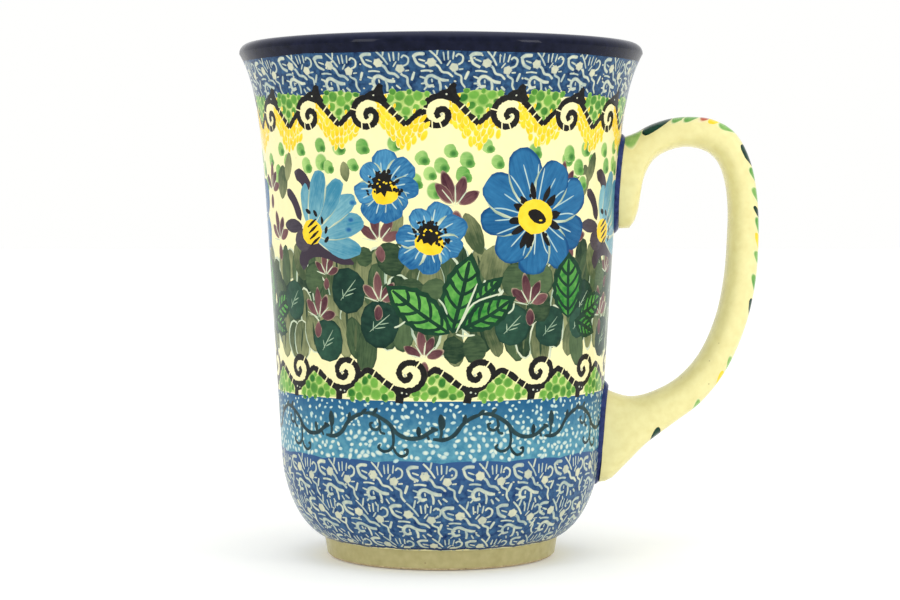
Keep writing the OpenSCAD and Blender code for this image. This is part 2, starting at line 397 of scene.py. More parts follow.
class Sheet:
    """A sheet of the given width that closes on itself, between its first and last row."""

    def __init__(self, width, rows, cuts, step=GRID):
        self.width = width
        self.step = step
        self.rows = sorted(set(rows) | set(cuts))
        self.cuts = cuts
        self.marks = []

    def mark(self, outline, ink_name, brush, load=0.5):
        """Paint one outline. Where it runs over the seam it is painted on the other side too."""
        outline = np.asarray(outline, float)
        ahead = np.roll(outline, -1, axis=0)
        area = (outline[:, 0] * ahead[:, 1] - outline[:, 1] * ahead[:, 0]).sum()
        if abs(area) < 1e-5:
            return
        if area < 0:
            outline = outline[::-1]
        for shift in (0.0, -self.width, self.width):
            moved = outline + (shift, 0.0)
            if moved[:, 0].max() < -self.width / 2 or moved[:, 0].min() > self.width / 2:
                continue
            back = np.array([[1, 0, -shift], [0, 1, 0], [0, 0, 1.0]])
            self.marks.append((moved, ink_name, brush @ back, load))

    def topmost(self, middle):
        """Which mark is on top at each triangle's middle."""
        order = np.argsort(middle[:, 0])
        sorted_x = middle[order, 0]
        top = np.full(len(middle), -1)
        for i, (outline, *_) in enumerate(self.marks):
            low, high = outline.min(0), outline.max(0)
            near = order[np.searchsorted(sorted_x, low[0]):np.searchsorted(sorted_x, high[0])]
            near = near[(middle[near, 1] > low[1]) & (middle[near, 1] < high[1])]
            top[near[encloses(outline, middle[near])]] = i
        return top

    def cut_up(self):
        """Cut the sheet into triangles along every outline. The mark on top colours a triangle."""
        half = self.width / 2
        columns = int(round(self.width / self.step))
        across = np.linspace(-half, half, columns + 1)
        corners = [Vector((x, y)) for y in self.rows for x in across]
        row = columns + 1
        edges = []
        for j, y in enumerate(self.rows):
            if y in self.cuts:
                edges += [(j * row + i, j * row + i + 1) for i in range(columns)]
            if j:
                edges += [((j - 1) * row, j * row), (j * row - 1, (j + 1) * row - 1)]
        faces = []
        for outline, *_ in self.marks:
            start = len(corners)
            corners += [Vector(p) for p in outline]
            faces.append(list(range(start, len(corners))))
        points, _, cells, _, _, _ = delaunay_2d_cdt(corners, edges, faces, 0, 1e-5, True)
        self.points = np.array([tuple(p) for p in points])
        cells = np.array(cells)
        middle = self.points[cells].mean(1)
        top = self.topmost(middle)
        inks = [m[1] for m in self.marks]
        keep = (abs(middle[:, 0]) < half) & (middle[:, 1] > self.rows[0]) & (middle[:, 1] < self.rows[-1])
        keep &= np.array([t < 0 or inks[t] != "hole" for t in top])
        self.cells = cells[keep]
        self.top = top[keep]
        print("sheet:", len(self.marks), "marks,", len(self.cells), "triangles")


# %% Wrapping a sheet round a surface


def weld(flat, half):
    """Which corner stands for each: the right-hand seam's corners are the left-hand seam's."""
    stands = np.arange(len(flat))
    left = np.where(abs(flat[:, 0] + half) < 1e-4)[0]
    for i in np.where(abs(flat[:, 0] - half) < 1e-4)[0]:
        nearest = left[np.argmin(abs(flat[left, 1] - flat[i, 1]))]
        if abs(flat[nearest, 1] - flat[i, 1]) < 0.01:
            stands[i] = nearest
    return stands


def back_wall(flat, border, half, low, high, holes, step):
    """A coarse sheet with the same border, for the side that lies against the clay."""
    names = sorted(set(border.ravel()))
    place = {name: i for i, name in enumerate(names)}
    inside = [Vector((x, y)) for x in np.arange(-half + step / 2, half, step)
              for y in np.arange(low + step / 2, high - step / 4, step)]
    corners = [Vector(flat[n]) for n in names] + inside
    edges = [(place[a], place[b]) for a, b in border]
    points, _, cells, came, _, _ = delaunay_2d_cdt(corners, edges, [], 0, 1e-6, True)
    points = np.array([tuple(p) for p in points])
    cells = np.array(cells)
    middle = points[cells].mean(1)
    keep = (abs(middle[:, 0]) < half) & (middle[:, 1] > low) & (middle[:, 1] < high)
    for hole in holes:
        keep &= ~encloses(hole, middle)
    match = {}
    for i, sources in enumerate(came):
        for source in sources:
            if source < len(names):
                match[names[source]] = i
    return points, cells[keep], match


def wrapped(name, sheet, low, high, surface, depth):
    """One closed coat of glaze, made of the sheet's triangles between two rows."""
    half = sheet.width / 2
    middle = sheet.points[sheet.cells].mean(1)[:, 1]
    chosen = (middle > low) & (middle < high)
    top = sheet.top[chosen]
    used, cells = np.unique(sheet.cells[chosen], return_inverse=True)
    cells = cells.reshape(-1, 3)
    flat = sheet.points[used]
    sides = np.concatenate([cells[:, [0, 1]], cells[:, [1, 2]], cells[:, [2, 0]]])
    ordered = np.sort(sides, axis=1)
    _, first, count = np.unique(ordered, axis=0, return_index=True, return_counts=True)
    border = sides[first[count == 1]]
    on_seam = (abs(abs(flat[border, 0]) - half) < 1e-4).all(1)
    holes = [m[0] for m in sheet.marks if m[1] == "hole"]
    back, back_cells, match = back_wall(flat, border, half, low, high, holes, 2 * sheet.step)
    front_place, front_normal = surface(flat)
    back_place, back_normal = surface(back)
    back_place = back_place - back_normal * depth
    front_stands = weld(flat, half)
    back_stands = weld(back, half) + len(flat)
    flip = np.cross(front_place[cells[:, 1]] - front_place[cells[:, 0]],
                    front_place[cells[:, 2]] - front_place[cells[:, 0]])
    inside_out = (flip * front_normal[cells[:, 0]]).sum(1).mean() < 0
    corner_a = border[~on_seam, 0]
    corner_b = border[~on_seam, 1]
    matched = np.array([[match[a], match[b]] for a, b in zip(corner_a, corner_b)])
    rims = np.stack([front_stands[corner_b], front_stands[corner_a],
                     back_stands[matched[:, 0]], back_stands[matched[:, 1]]], 1)
    back_cells = back_cells[:, ::-1]
    if inside_out:
        cells, back_cells, rims = cells[:, ::-1], back_cells[:, ::-1], rims[:, ::-1]
    front = front_stands[cells]
    rear = back_stands[back_cells]
    faces = front.tolist() + rear.tolist() + rims.tolist()
    corners = np.concatenate([front_place, back_place]) * MM
    mesh = bpy.data.meshes.new(name)
    mesh.from_pydata(corners.tolist(), [], faces)
    paint_faces(mesh, sheet, top, flat, cells)
    face_normals = np.zeros(len(mesh.polygons) * 3)
    mesh.polygon_normals.foreach_get("vector", face_normals)
    rim_normals = face_normals.reshape(-1, 3)[-len(rims):]
    normals = np.concatenate([front_normal[cells.ravel()], -back_normal[rear.ravel() - len(flat)],
                              np.repeat(rim_normals, 4, axis=0)])
    mesh.shade_smooth()
    mesh.normals_split_custom_set(normals.tolist())
    piece = bpy.data.objects.new(name, mesh)
    bpy.context.collection.objects.link(piece)
    drop_loose(mesh)
    print(name, len(mesh.polygons), "faces")
    return piece


def paint_faces(mesh, sheet, top, flat, cells):
    """Give each triangle its ink, and write where it lies in its mark to the maps brush and dip."""
    names = ["cream"] + sorted({sheet.marks[t][1] for t in set(top.tolist()) if t >= 0} - {"cream"})
    for each in names:
        mesh.materials.append(INKS[each])
    slots = {each: i for i, each in enumerate(names)}
    by_mark = np.array([slots.get(m[1], 0) for m in sheet.marks] + [0])
    which = np.zeros(len(mesh.polygons), np.int32)
    which[:len(top)] = by_mark[top]
    mesh.polygons.foreach_set("material_index", which)
    blank = np.array([[0, 0, 0], [0, 0, 0], [0, 0, 1.0]])
    maps = np.array([m[2] for m in sheet.marks] + [blank])[np.repeat(top, 3)]
    loads = np.array([m[3] for m in sheet.marks] + [0.5])[np.repeat(top, 3)]
    spots = np.concatenate([flat[cells.ravel()], np.ones((cells.size, 1))], axis=1)
    brush = np.einsum("nij,nj->ni", maps, spots)[:, :2]
    for name, values in (("brush", brush), ("dip", np.stack([loads, loads], 1))):
        layer = mesh.uv_layers.new(name=name)
        wide = np.zeros((len(mesh.loops), 2), np.float32)
        wide[:len(values)] = values
        layer.data.foreach_set("uv", wide.ravel())


def drop_loose(mesh):
    """Remove the corners that the welded seam left over."""
    shape = bmesh.new()
    shape.from_mesh(mesh)
    bmesh.ops.delete(shape, geom=[v for v in shape.verts if not v.link_faces], context="VERTS")
    shape.to_mesh(mesh)
    shape.free()


# %% The cup's wall as a surface to wrap round
WALL_Z = np.linspace(FOOT_H - 0.3, SKIN_TOP + 0.3, 2000)
WALL_UP = np.concatenate([[0], np.cumsum(np.hypot(np.diff(WALL_Z), np.diff(outer_r(WALL_Z))))])
WALL_UP += BOWL_TOP - np.interp(BOWL_TOP, WALL_Z, WALL_UP)


def up_at(z):
    """Distance up the wall for a height, counted so that both agree at the top of the bowl."""
    return float(np.interp(z, WALL_Z, WALL_UP))


def cup_wall(flat):
    """Places and outward normals, in millimetres, for points on the flat sheet."""
    turn = flat[:, 0] / FLAT_R
    z = np.interp(flat[:, 1], WALL_UP, WALL_Z)
    lean = (outer_r(z + 0.01) - outer_r(z - 0.01)) / 0.02
    out = np.stack([np.sin(turn), -np.cos(turn), 0 * turn], 1)
    places = out * outer_r(z)[:, None]
    places[:, 0] += AXIS_X
    places[:, 2] = z
    normals = out.copy()
    normals[:, 2] = -lean
    return places, normals / np.linalg.norm(normals, axis=1)[:, None]


print("the wall is", round(WALL_UP[-1] - WALL_UP[0], 1), "mm long from foot to lip")

# %% [markdown]
# ## Brush marks and stamps
# Five kinds of mark make the whole pattern: a blade, which is a petal, a leaf or a dab, a stroke of
# a brush or a stamped line, a blob, a star, and a patch of any outline. Each is drawn in
# millimetres about its own start and laid down by a matrix that knows where on the wall it goes and
# how it is turned. Each also remembers a random load, which is how full the brush was.

# %% Marks


def spot(angle, z, turn=0.0, size=1.0):
    """Where a mark goes: an angle from the front towards the handle, a height, and its turn."""
    squeeze = FLAT_R / float(outer_r(max(z, FOOT_H)))
    c = math.cos(math.radians(turn)) * size
    s = math.sin(math.radians(turn)) * size
    return np.array([[squeeze * c, -squeeze * s, math.radians(angle) * FLAT_R], [s, c, up_at(z)],
                     [0, 0, 1.0]])


def shifted(place, x, y, turn=0.0, size=1.0):
    """A place inside another one, as when one mark belongs to a bigger motif."""
    c = math.cos(math.radians(turn)) * size
    s = math.sin(math.radians(turn)) * size
    return place @ np.array([[c, -s, x], [s, c, y], [0, 0, 1.0]])


def carried(place, points):
    points = np.asarray(points, float)
    return points @ place[:2, :2].T + place[:2, 2]


def wobbled(outline, amount):
    """The same outline with the slight unevenness of a hand."""
    noise_at = rng.normal(0, amount, outline.shape)
    return outline + (noise_at + np.roll(noise_at, 1, 0) + np.roll(noise_at, -1, 0)) / 2


def lay(sheet, place, outline, ink_name, brush):
    sheet.mark(carried(place, outline), ink_name, brush @ np.linalg.inv(place), rng.random())


def boxy(a, power):
    """A circle's points at the angles a. A power under 1 pushes its corners out."""
    x, y = np.cos(a), np.sin(a)
    return np.sign(x) * abs(x) ** power, np.sign(y) * abs(y) ** power


def blade(sheet, place, length, width, ink_name, belly=1.0, blunt=0.6, wobble=0.08, steps=8):
    """A mark from the origin along +X. belly above 1 moves its widest part to the tip."""
    t = (1 - np.cos(np.linspace(0, math.pi, steps))) / 2
    half = width / 2 * np.sin(math.pi * np.clip(t, 1e-6, 1 - 1e-6) ** belly) ** blunt
    lower = np.stack([t * length, -half], 1)
    upper = np.stack([t * length, half], 1)[::-1]
    brush = np.array([[2 / length, 0, -1], [0, 2 / width, 0], [0, 0, 1.0]])
    lay(sheet, place, wobbled(np.concatenate([lower, upper[1:-1]]), wobble), ink_name, brush)


def blob(sheet, place, width, height, ink_name, wobble=0.06, steps=12, square=1.0):
    """A round mark about the origin; square under 1 makes it boxier."""
    x, y = boxy(np.linspace(0, 2 * math.pi, steps, endpoint=False), square)
    outline = np.stack([width / 2 * x, height / 2 * y], 1)
    lay(sheet, place, wobbled(outline, wobble), ink_name, np.diag([2 / width, 2 / height, 1.0]))


def star(sheet, place, radius, ink_name, points=5, depth=0.45):
    """A blot with uneven arms."""
    a = np.linspace(0, 2 * math.pi, 2 * points, endpoint=False) + rng.random()
    reach = radius * np.where(np.arange(2 * points) % 2, 1 - depth, 1 + 0.25 * rng.random(2 * points))
    outline = np.stack([reach * np.cos(a), reach * np.sin(a)], 1)
    lay(sheet, place, outline, ink_name, np.diag([1 / radius, 1 / radius, 1.0]))


def patch(sheet, place, outline, ink_name, wobble=0.05, size=2.0):
    """Any given outline."""
    lay(sheet, place, wobbled(np.asarray(outline, float), wobble), ink_name,
        np.diag([1 / size, 1 / size, 1.0]))


def between(a, b, c, d, u):
    """The soft curve's point a share u of the way from b to c. a and d are the points beyond."""
    return 0.5 * (2 * b + (c - a) * u + (2 * a - 5 * b + 4 * c - d) * u * u
                  + (3 * b - a - 3 * c + d) * u ** 3)


def smooth(points, steps):
    """More points along the soft curve that runs through the given ones."""
    points = np.asarray(points, float)
    if len(points) < 3:
        share = np.linspace(0, 1, steps + 1)[:, None]
        return points[0] * (1 - share) + points[-1] * share
    ends = np.concatenate([[2 * points[0] - points[1]], points, [2 * points[-1] - points[-2]]])
    curve = [between(*four, u) for four in zip(ends, ends[1:], ends[2:], ends[3:])
             for u in np.arange(steps) / steps]
    return np.array(curve + [points[-1]])


def stroke(sheet, place, points, width, ink_name, ends=0.5, steps=4, wobble=0.02):
    """A line of ink along a curve, laid down as short lengths that share their cross lines."""
    line = smooth(points, steps)
    ahead = np.gradient(line, axis=0)
    side = np.stack([-ahead[:, 1], ahead[:, 0]], 1)
    side /= np.linalg.norm(side, axis=1)[:, None]
    share = np.linspace(0, 1, len(line))
    half = np.interp(share, [0, 0.12, 0.88, 1], [ends, 1, 1, ends]) * width / 2
    half = half * (1 + rng.normal(0, wobble, len(half)))
    left = line + side * half[:, None]
    right = line - side * half[:, None]
    run = 0.0
    load = rng.random()
    back = np.linalg.inv(place)
    for i in range(len(line) - 1):
        way = line[i + 1] - line[i]
        reach = np.linalg.norm(way)
        if reach < 1e-6:
            continue
        c, s = way / reach
        brush = np.array([[c, s, 0], [-s * 2 / width, c * 2 / width, 0], [0, 0, 1.0]])
        brush[:2, 2] = -brush[:2, :2] @ line[i]
        brush[0, 2] += run
        quad = carried(place, [right[i], right[i + 1], left[i + 1], left[i]])
        sheet.mark(quad, ink_name, brush @ back, load)
        run += reach


print("a stamp at the front is set down with", spot(0, 60).round(2).tolist())

# %% [markdown]
# ## The blue squiggle stamp
# The bands under the lip and round the bowl are one sponge stamp pressed side by side. The stamp is
# cut away where the clay shows through, so the ground is blue and the lines are bare: a curl, two
# blots with tails, a hook and some grass. The rows on the bowl don't line up with each other.

# %% Squiggles
RIM_STAMPS = 24
EDGE_STROKES = 20
SQUIGGLE = (
    ([(0.4, -1.0), (-0.8, -1.2), (-1.35, -0.2), (-0.9, 0.85), (0.1, 1.1), (1.3, 0.5), (2.4, 0.05),
      (3.7, -0.05)], 0.95),
    ([(1.5, 0.2), (1.85, -1.0), (1.8, -2.3)], 0.65), ([(-1.2, 0.5), (-2.6, 1.0)], 0.5),
    ([(-1.3, -0.5), (-2.4, -0.6)], 0.5), ([(-0.9, -1.0), (-1.8, -2.0)], 0.5),
    ([(0.0, 0.4), (0.1, -0.4)], 0.45), ([(0.2, 4.0), (1.5, 3.2), (2.3, 1.9), (3.6, 1.6), (4.6, 0.7)], 0.68),
    ([(-3.8, 5.4), (-2.8, 6.1), (-1.2, 6.1)], 0.95), ([(-3.6, 5.5), (-2.9, 3.9), (-1.3, 3.1)], 0.8),
    ([(-2.3, 2.2), (-1.0, 2.3), (0.4, 2.1)], 0.5), ([(-2.6, 4.9), (-1.2, 4.4)], 0.45),
    ([(4.8, 2.8), (5.2, 1.5), (6.4, 0.8), (6.5, -0.6), (7.3, -1.8)], 0.6),
    ([(5.2, 3.2), (6.6, 3.9), (6.8, 5.2), (5.9, 5.8), (5.3, 5.2)], 0.55),
    ([(-4.4, 0.2), (-3.7, 2.1)], 0.7), ([(3.7, 6.6), (3.7, 4.5)], 0.42), ([(2.7, 6.4), (2.9, 4.4)], 0.4),
    ([(-0.2, 6.9), (1.2, 5.4), (2.3, 3.7)], 0.5), ([(1.7, 7.6), (1.3, 5.7)], 0.5),
    ([(4.9, 6.4), (4.7, 4.6)], 0.42), ([(3.4, 3.2), (4.2, 4.4)], 0.45), ([(2.9, -1.2), (3.6, -2.4)], 0.5),
    ([(3.9, -0.9), (4.9, -1.7)], 0.55), ([(0.2, -2.1), (0.6, -3.0)], 0.45), ([(5.9, 2.3), (6.9, 2.4)], 0.4))


def squiggle(sheet, place):
    """One stamp: its lines, its two blots and a few stray flecks."""
    for line, width in SQUIGGLE:
        stroke(sheet, place, line, width * rng.uniform(0.86, 1.08), "rim_line", ends=0.6, steps=3,
               wobble=0.12)
    star(sheet, shifted(place, 0.1, 4.1), 1.15, "rim_blot", points=6, depth=0.22)
    star(sheet, shifted(place, 4.9, 2.8), 1.1, "rim_blot", points=5, depth=0.22)
    for _ in range(5):
        blob(sheet, shifted(place, rng.uniform(-4.5, 7.5), rng.uniform(-2.5, 6.5)), 0.6, 0.5, "rim_blot",
             steps=6)


def blue_band(sheet, ink_name, low, high, waves, wave):
    """A ground of blue whose lower edge is as uneven as the stamps that made it. It is as wide as
    the sheet, so it isn't repeated over the seam as other marks are."""
    reach = sheet.width / 2
    x = np.linspace(-reach, reach, waves * 8 + 1)
    bottom = up_at(low) + wave * abs(np.sin(np.pi * x / (2 * reach) * waves)) ** 0.6 - wave / 2
    top = np.full(2, up_at(high))
    bottom[-1] = bottom[0]
    outline = np.concatenate([np.stack([x, bottom], 1), np.stack([[reach, -reach], top], 1)])
    sheet.marks.append((outline, ink_name, np.eye(3), 0.5))


def paint_squiggles(sheet):
    blue_band(sheet, "rim_blue", 107.0, SKIN_TOP + 2, RIM_STAMPS, -0.5)
    for i in range(RIM_STAMPS):
        squiggle(sheet, spot(i * 360 / RIM_STAMPS - 2.6 + rng.normal(0, 0.3), 109.7 + rng.normal(0, 0.12),
                             rng.normal(0, 1.5)))
    blue_band(sheet, "base_blue", FOOT_H + 0.25, 26.0, EDGE_STROKES, 1.1)
    rows = ((18.4, 20, -5.7, 0.0), (9.9, 19, 6.8, 0.0), (9.9, 18, -3.0, -9.2))
    for height, count, start, drop in rows:
        for i in range(count):
            place = spot(start + i * 360 / count + rng.normal(0, 0.35), height + rng.normal(0, 0.12),
                         rng.normal(0, 1.5), 1.02)
            squiggle(sheet, shifted(place, 0, drop))
    for i in range(EDGE_STROKES):
        stroke(sheet, spot(i * 360 / EDGE_STROKES + 3, FOOT_H + 0.6),
               [(-5.6, 0.35), (-2.6, -0.2), (1.8, -0.15), (4.6, 0.4)], 0.95, "base_edge", steps=3,
               wobble=0.15)


print("the squiggle stamp has", len(SQUIGGLE), "lines")

# %% [markdown]
# ## The two scroll borders
# Each border is one stamp too: a black spiral with a dashed tail that dips to a point and climbs to
# the next spiral. Above, the spirals carry a pointed knob, the gaps are filled with green chips and
# yellow feathers hang below the line. The lower border is the same idea upside down, on a stem.

# %% Scroll borders
UPPER_SCROLLS = 17
LOWER_SCROLLS = 16


def gaps(sheet, place, points):
    """Hairline breaks across a stamped line, each given by its place and its direction."""
    for x, y, turn in points:
        stroke(sheet, shifted(place, x, y, turn), [(0, -0.85), (0, 0.85)], 0.3, "cream", ends=1, steps=1)


def pinholes(sheet, place, spots):
    """Bare specks in the black, each given by its place, width and height."""
    for x, y, wide, high in spots:
        blob(sheet, shifted(place, x, y), wide, high, "rim_blot", wobble=0.03, steps=8)


def chips(sheet, place, spots):
    """Green chips, as of a mosaic, each given by its place and radius."""
    for x, y, r in spots:
        blob(sheet, shifted(place, x, y, rng.uniform(0, 90)), 2 * r, 2 * r * rng.uniform(0.75, 1.0),
             "mosaic", wobble=0.1, steps=9, square=0.75)


def upper_scroll(sheet, place):
    """Chips first, then the yellow feathers in three rows, and the black scroll over them."""
    patch(sheet, place, [(2.4, 4.4), (4.6, 2.2), (6.6, 0.2), (8.4, -1.8), (10.4, 0.0), (12.2, 1.4),
                         (12.8, 3.8), (14.2, 5.0), (8.0, 5.5)], "mosaic_line")
    chips(sheet, place, [(4.9, 3.7, 1.25), (6.7, 2.0, 1.1), (7.2, 4.3, 1.3), (9.3, 3.3, 1.35),
                         (8.5, 0.9, 1.05), (11.2, 4.3, 1.2), (10.7, 1.7, 0.95), (12.3, 2.9, 0.75),
                         (13.2, 4.7, 0.8), (8.3, -0.6, 0.6), (5.6, 5.2, 0.8), (9.3, 5.2, 0.7)])
    for x, y in ((5.8, 1.5), (10.2, 0.3), (3.8, 3.6)):
        blade(sheet, shifted(place, x, y, 75), 1.3, 0.7, "yellow")
    patch(sheet, place, [(2.3, 2.6), (3.4, 2.2), (5.0, 0.6), (6.8, -1.2), (8.4, -2.5), (10.2, -0.8),
                         (11.4, -0.8), (8.6, -3.9), (6.4, -3.2), (4.2, -1.8), (2.7, 0.1)], "yellow_wash",
          wobble=0.12)
    for row, (low, count) in enumerate(((3.4, 10), (1.7, 11), (0.0, 10))):
        for i in range(count):
            x = 1.2 + (i + 0.4 * (row % 2)) * 13.4 / count
            line = max(-0.9 * (x - 2.6) + 2.6, -2.4) if x < 8.4 else min(-2.4 + 0.85 * (x - 8.4), 0.4)
            y = max(line - 0.7 - low, -5.6) + rng.normal(0, 0.2)
            lean = -62 - 5.5 * (x - 2) + rng.normal(0, 9)
            blade(sheet, shifted(place, x, y + 0.5, lean), rng.uniform(2.2, 3.1), rng.uniform(1.1, 1.5),
                  "yellow", belly=1.3)
    coil = [(-0.5, -0.75), (-0.95, 0.15), (-0.35, 1.0), (0.65, 1.1), (1.5, 0.3), (1.4, -1.1),
            (0.3, -2.2), (-1.6, -2.4), (-3.4, -1.3), (-4.0, 0.6), (-3.3, 2.6), (-1.7, 3.8), (0.5, 4.1),
            (2.6, 3.5)]
    patch(sheet, place, coil[4:13] + [(1.9, 2.6)], "cream")
    stroke(sheet, place, coil, 1.4, "scroll_black", ends=0.8, steps=5, wobble=0.09)
    stroke(sheet, place, [(2.6, 3.5), (4.5, 1.8), (6.3, -0.1), (8.4, -2.1)], 1.35, "scroll_black", ends=0.9,
           steps=6, wobble=0.12)
    stroke(sheet, place, [(8.4, -2.1), (10.2, -0.4), (12.2, 1.2)], 1.25, "scroll_black", ends=0.8, steps=6,
           wobble=0.12)
    patch(sheet, place, [(-1.4, 3.9), (0.6, 3.4), (3.6, 2.6), (4.4, 3.6), (3.6, 4.7), (3.3, 5.9),
                         (3.4, 6.7), (2.6, 7.2), (1.9, 6.6), (1.3, 5.7), (0.2, 5.5), (-0.8, 4.9)],
          "scroll_black", wobble=0.12, size=9)
    pinholes(sheet, place, ((0.1, 0, 0.55, 0.55), (1.2, 4.5, 0.5, 0.45)))
    gaps(sheet, place, [(-2.0, -2.35, 0), (-0.1, -2.3, 20), (6.0, 0.2, -45), (7.4, -1.1, -45),
                        (4.7, 1.6, -45), (-3.9, 1.4, 75)])


def lower_scroll(sheet, place):
    """Chips under a dipping line that ends in a spiral, and the short stem that it stands on."""
    patch(sheet, place, [(-14.7, -5.9), (-14.2, -4.2), (-12.4, -3.3), (-11.1, -1.5), (-10.3, -0.4),
                         (-9.0, 0.3), (-7.0, -0.7), (-4.8, -2.3), (-2.7, -3.6), (-2.0, -5.9)],
          "mosaic_line")
    chips(sheet, place, [(-13.2, -4.9, 1.1), (-11.5, -3.4, 1.15), (-11.2, -5.4, 1.05), (-9.7, -1.9, 1.1),
                         (-9.3, -4.1, 1.45), (-7.4, -2.3, 1.2), (-7.0, -4.8, 1.3), (-5.1, -3.7, 1.1),
                         (-4.9, -5.4, 0.95), (-3.3, -4.7, 0.85), (-13.0, -6.1, 0.7), (-9.1, -6.0, 0.7),
                         (-8.6, -0.9, 0.6)])
    line = [(-11.3, -1.2), (-10.3, -0.3), (-9.0, 0.5), (-7.0, -0.4), (-4.8, -2.0), (-2.7, -3.3),
            (-0.8, -3.7), (1.6, -3.5), (3.3, -2.3), (4.1, -0.4), (3.5, 1.5), (1.8, 2.5), (-0.2, 2.3),
            (-1.5, 0.8), (-1.2, -0.8), (0.0, -1.4), (1.0, -0.5), (0.5, 0.3)]
    patch(sheet, place, line[6:16], "cream")
    stroke(sheet, place, line, 1.4, "scroll_black", ends=0.7, steps=6, wobble=0.1)
    patch(sheet, place, [(-3.2, -3.3), (1.6, -3.5), (0.9, -4.9), (-0.4, -5.2), (-0.6, -6.4), (-2.5, -6.4),
                         (-2.3, -4.7)], "scroll_black", wobble=0.1, size=9)
    pinholes(sheet, place, ((-0.2, -0.3, 0.6, 0.55), (-0.9, -4.2, 0.6, 0.5), (0.2, -4.4, 0.4, 0.4)))
    gaps(sheet, place, [(-7.4, -0.1, -30), (-5.0, -1.9, -38), (2.7, 2.15, -35), (-3.2, -3.0, -35)])


def paint_scrolls(sheet):
    for i in range(UPPER_SCROLLS):
        upper_scroll(sheet, spot(i * 360 / UPPER_SCROLLS - 0.3 + rng.normal(0, 0.35),
                                 102.4 + rng.normal(0, 0.15), rng.normal(0, 1.0), 0.99))
    for i in range(LOWER_SCROLLS):
        lower_scroll(sheet, spot(i * 360 / LOWER_SCROLLS + 10.9 + rng.normal(0, 0.35),
                                 45.5 + rng.normal(0, 0.12), rng.normal(0, 0.8)))


print(UPPER_SCROLLS, "scrolls above and", LOWER_SCROLLS, "below")

# %% [markdown]
# ## The vine on dotted blue
# Under the lower scrolls runs a band of blue, darker at its top, with rows of bare dots and a thin
# dark vine that rises and falls nine times round the mug.

# %% Dots and vine
DOT_ROWS = 10
DOTS_IN_ROW = 132
VINE_REPEATS = 9
VINE_Z = 32
TENDRILS = (
    ([(-0.7, 36.4), (1.2, 36.4), (2.9, 35.8), (5.5, 34.2), (7.3, 32.1), (9.9, 31.0), (12.8, 31.3),
      (15.1, 32.7), (16.6, 33.1)], 0.85),
    ([(15.4, 30.9), (18.0, 30.8), (20.2, 31.9), (22.0, 34.2), (24.0, 35.6), (26.2, 36.4)], 0.85),
    ([(5.7, 34.0), (6.4, 32.0), (6.4, 29.6), (5.5, 28.3), (4.0, 28.0), (2.9, 28.8), (3.4, 29.6)], 0.62),
    ([(6.3, 29.2), (7.0, 27.8), (8.2, 27.0), (9.5, 27.5), (9.6, 28.5), (8.8, 28.4)], 0.6),
    ([(3.0, 35.4), (3.4, 33.8), (2.6, 32.8), (1.4, 33.0), (1.0, 34.0), (1.7, 34.4)], 0.6),
    ([(3.2, 33.2), (3.6, 32.2), (4.6, 31.9)], 0.55), ([(16.9, 34.0), (17.3, 32.4), (17.0, 30.9)], 0.6),
    ([(14.0, 31.9), (14.6, 30.7)], 0.55))
VINE_LEAVES = ((17.5, 32.9, 95, 3.7, 1.7), (16.6, 33.0, 165, 1.8, 0.8), (22.2, 33.9, 80, 2.6, 1.1),
               (12.3, 31.3, 92, 2.5, 1.2), (25.3, 36.0, 40, 2.2, 1.0), (1.6, 36.2, 48, 2.0, 0.9))


def paint_vine(sheet):
    blue_band(sheet, "dotted_blue", 25.7, 39.3, 16, 0.5)
    for row in range(DOT_ROWS):
        z = 38.5 - row * 1.32
        for i in range(DOTS_IN_ROW):
            if rng.random() < 0.1:
                continue
            angle = (i + 0.5 * (row % 2) + rng.normal(0, 0.2)) * 360 / DOTS_IN_ROW
            size = rng.uniform(0.55, 0.85) + 0.03 * (38 - z)
            blob(sheet, spot(angle, z + rng.normal(0, 0.26), rng.uniform(0, 180)), size,
                 size * rng.uniform(1.0, 1.8), "dot", wobble=0.06, steps=7)
    for i in range(VINE_REPEATS):
        place = shifted(spot(i * 360 / VINE_REPEATS - 25.7, VINE_Z), 0, -VINE_Z)
        for line, width in TENDRILS:
            stroke(sheet, place, line, width * 1.15, "vine", ends=0.5, steps=4, wobble=0.08)
        for x, z, turn, length, width in VINE_LEAVES:
            blade(sheet, shifted(place, x, z, turn), length, width, "vine", wobble=0.05)


print("each repeat of the vine has", len(TENDRILS), "strokes and", len(VINE_LEAVES), "leaves")

# %% [markdown]
# ## The flower garden
# The wide band was brushed by hand: first the soft grey-green shoots, then dark round leaves, small
# plum blossoms and green dabs, and on top the flowers and the bright leaf sprays. The group is
# painted three times round the mug. Fine pale lines between the petals and along the leaves are
# where the painter left the ground bare.

# %% Leaves and blossoms
LOBES = ((95, 1.0), (135, 0.78), (58, 0.8), (22, 0.7), (-95, 0.6))


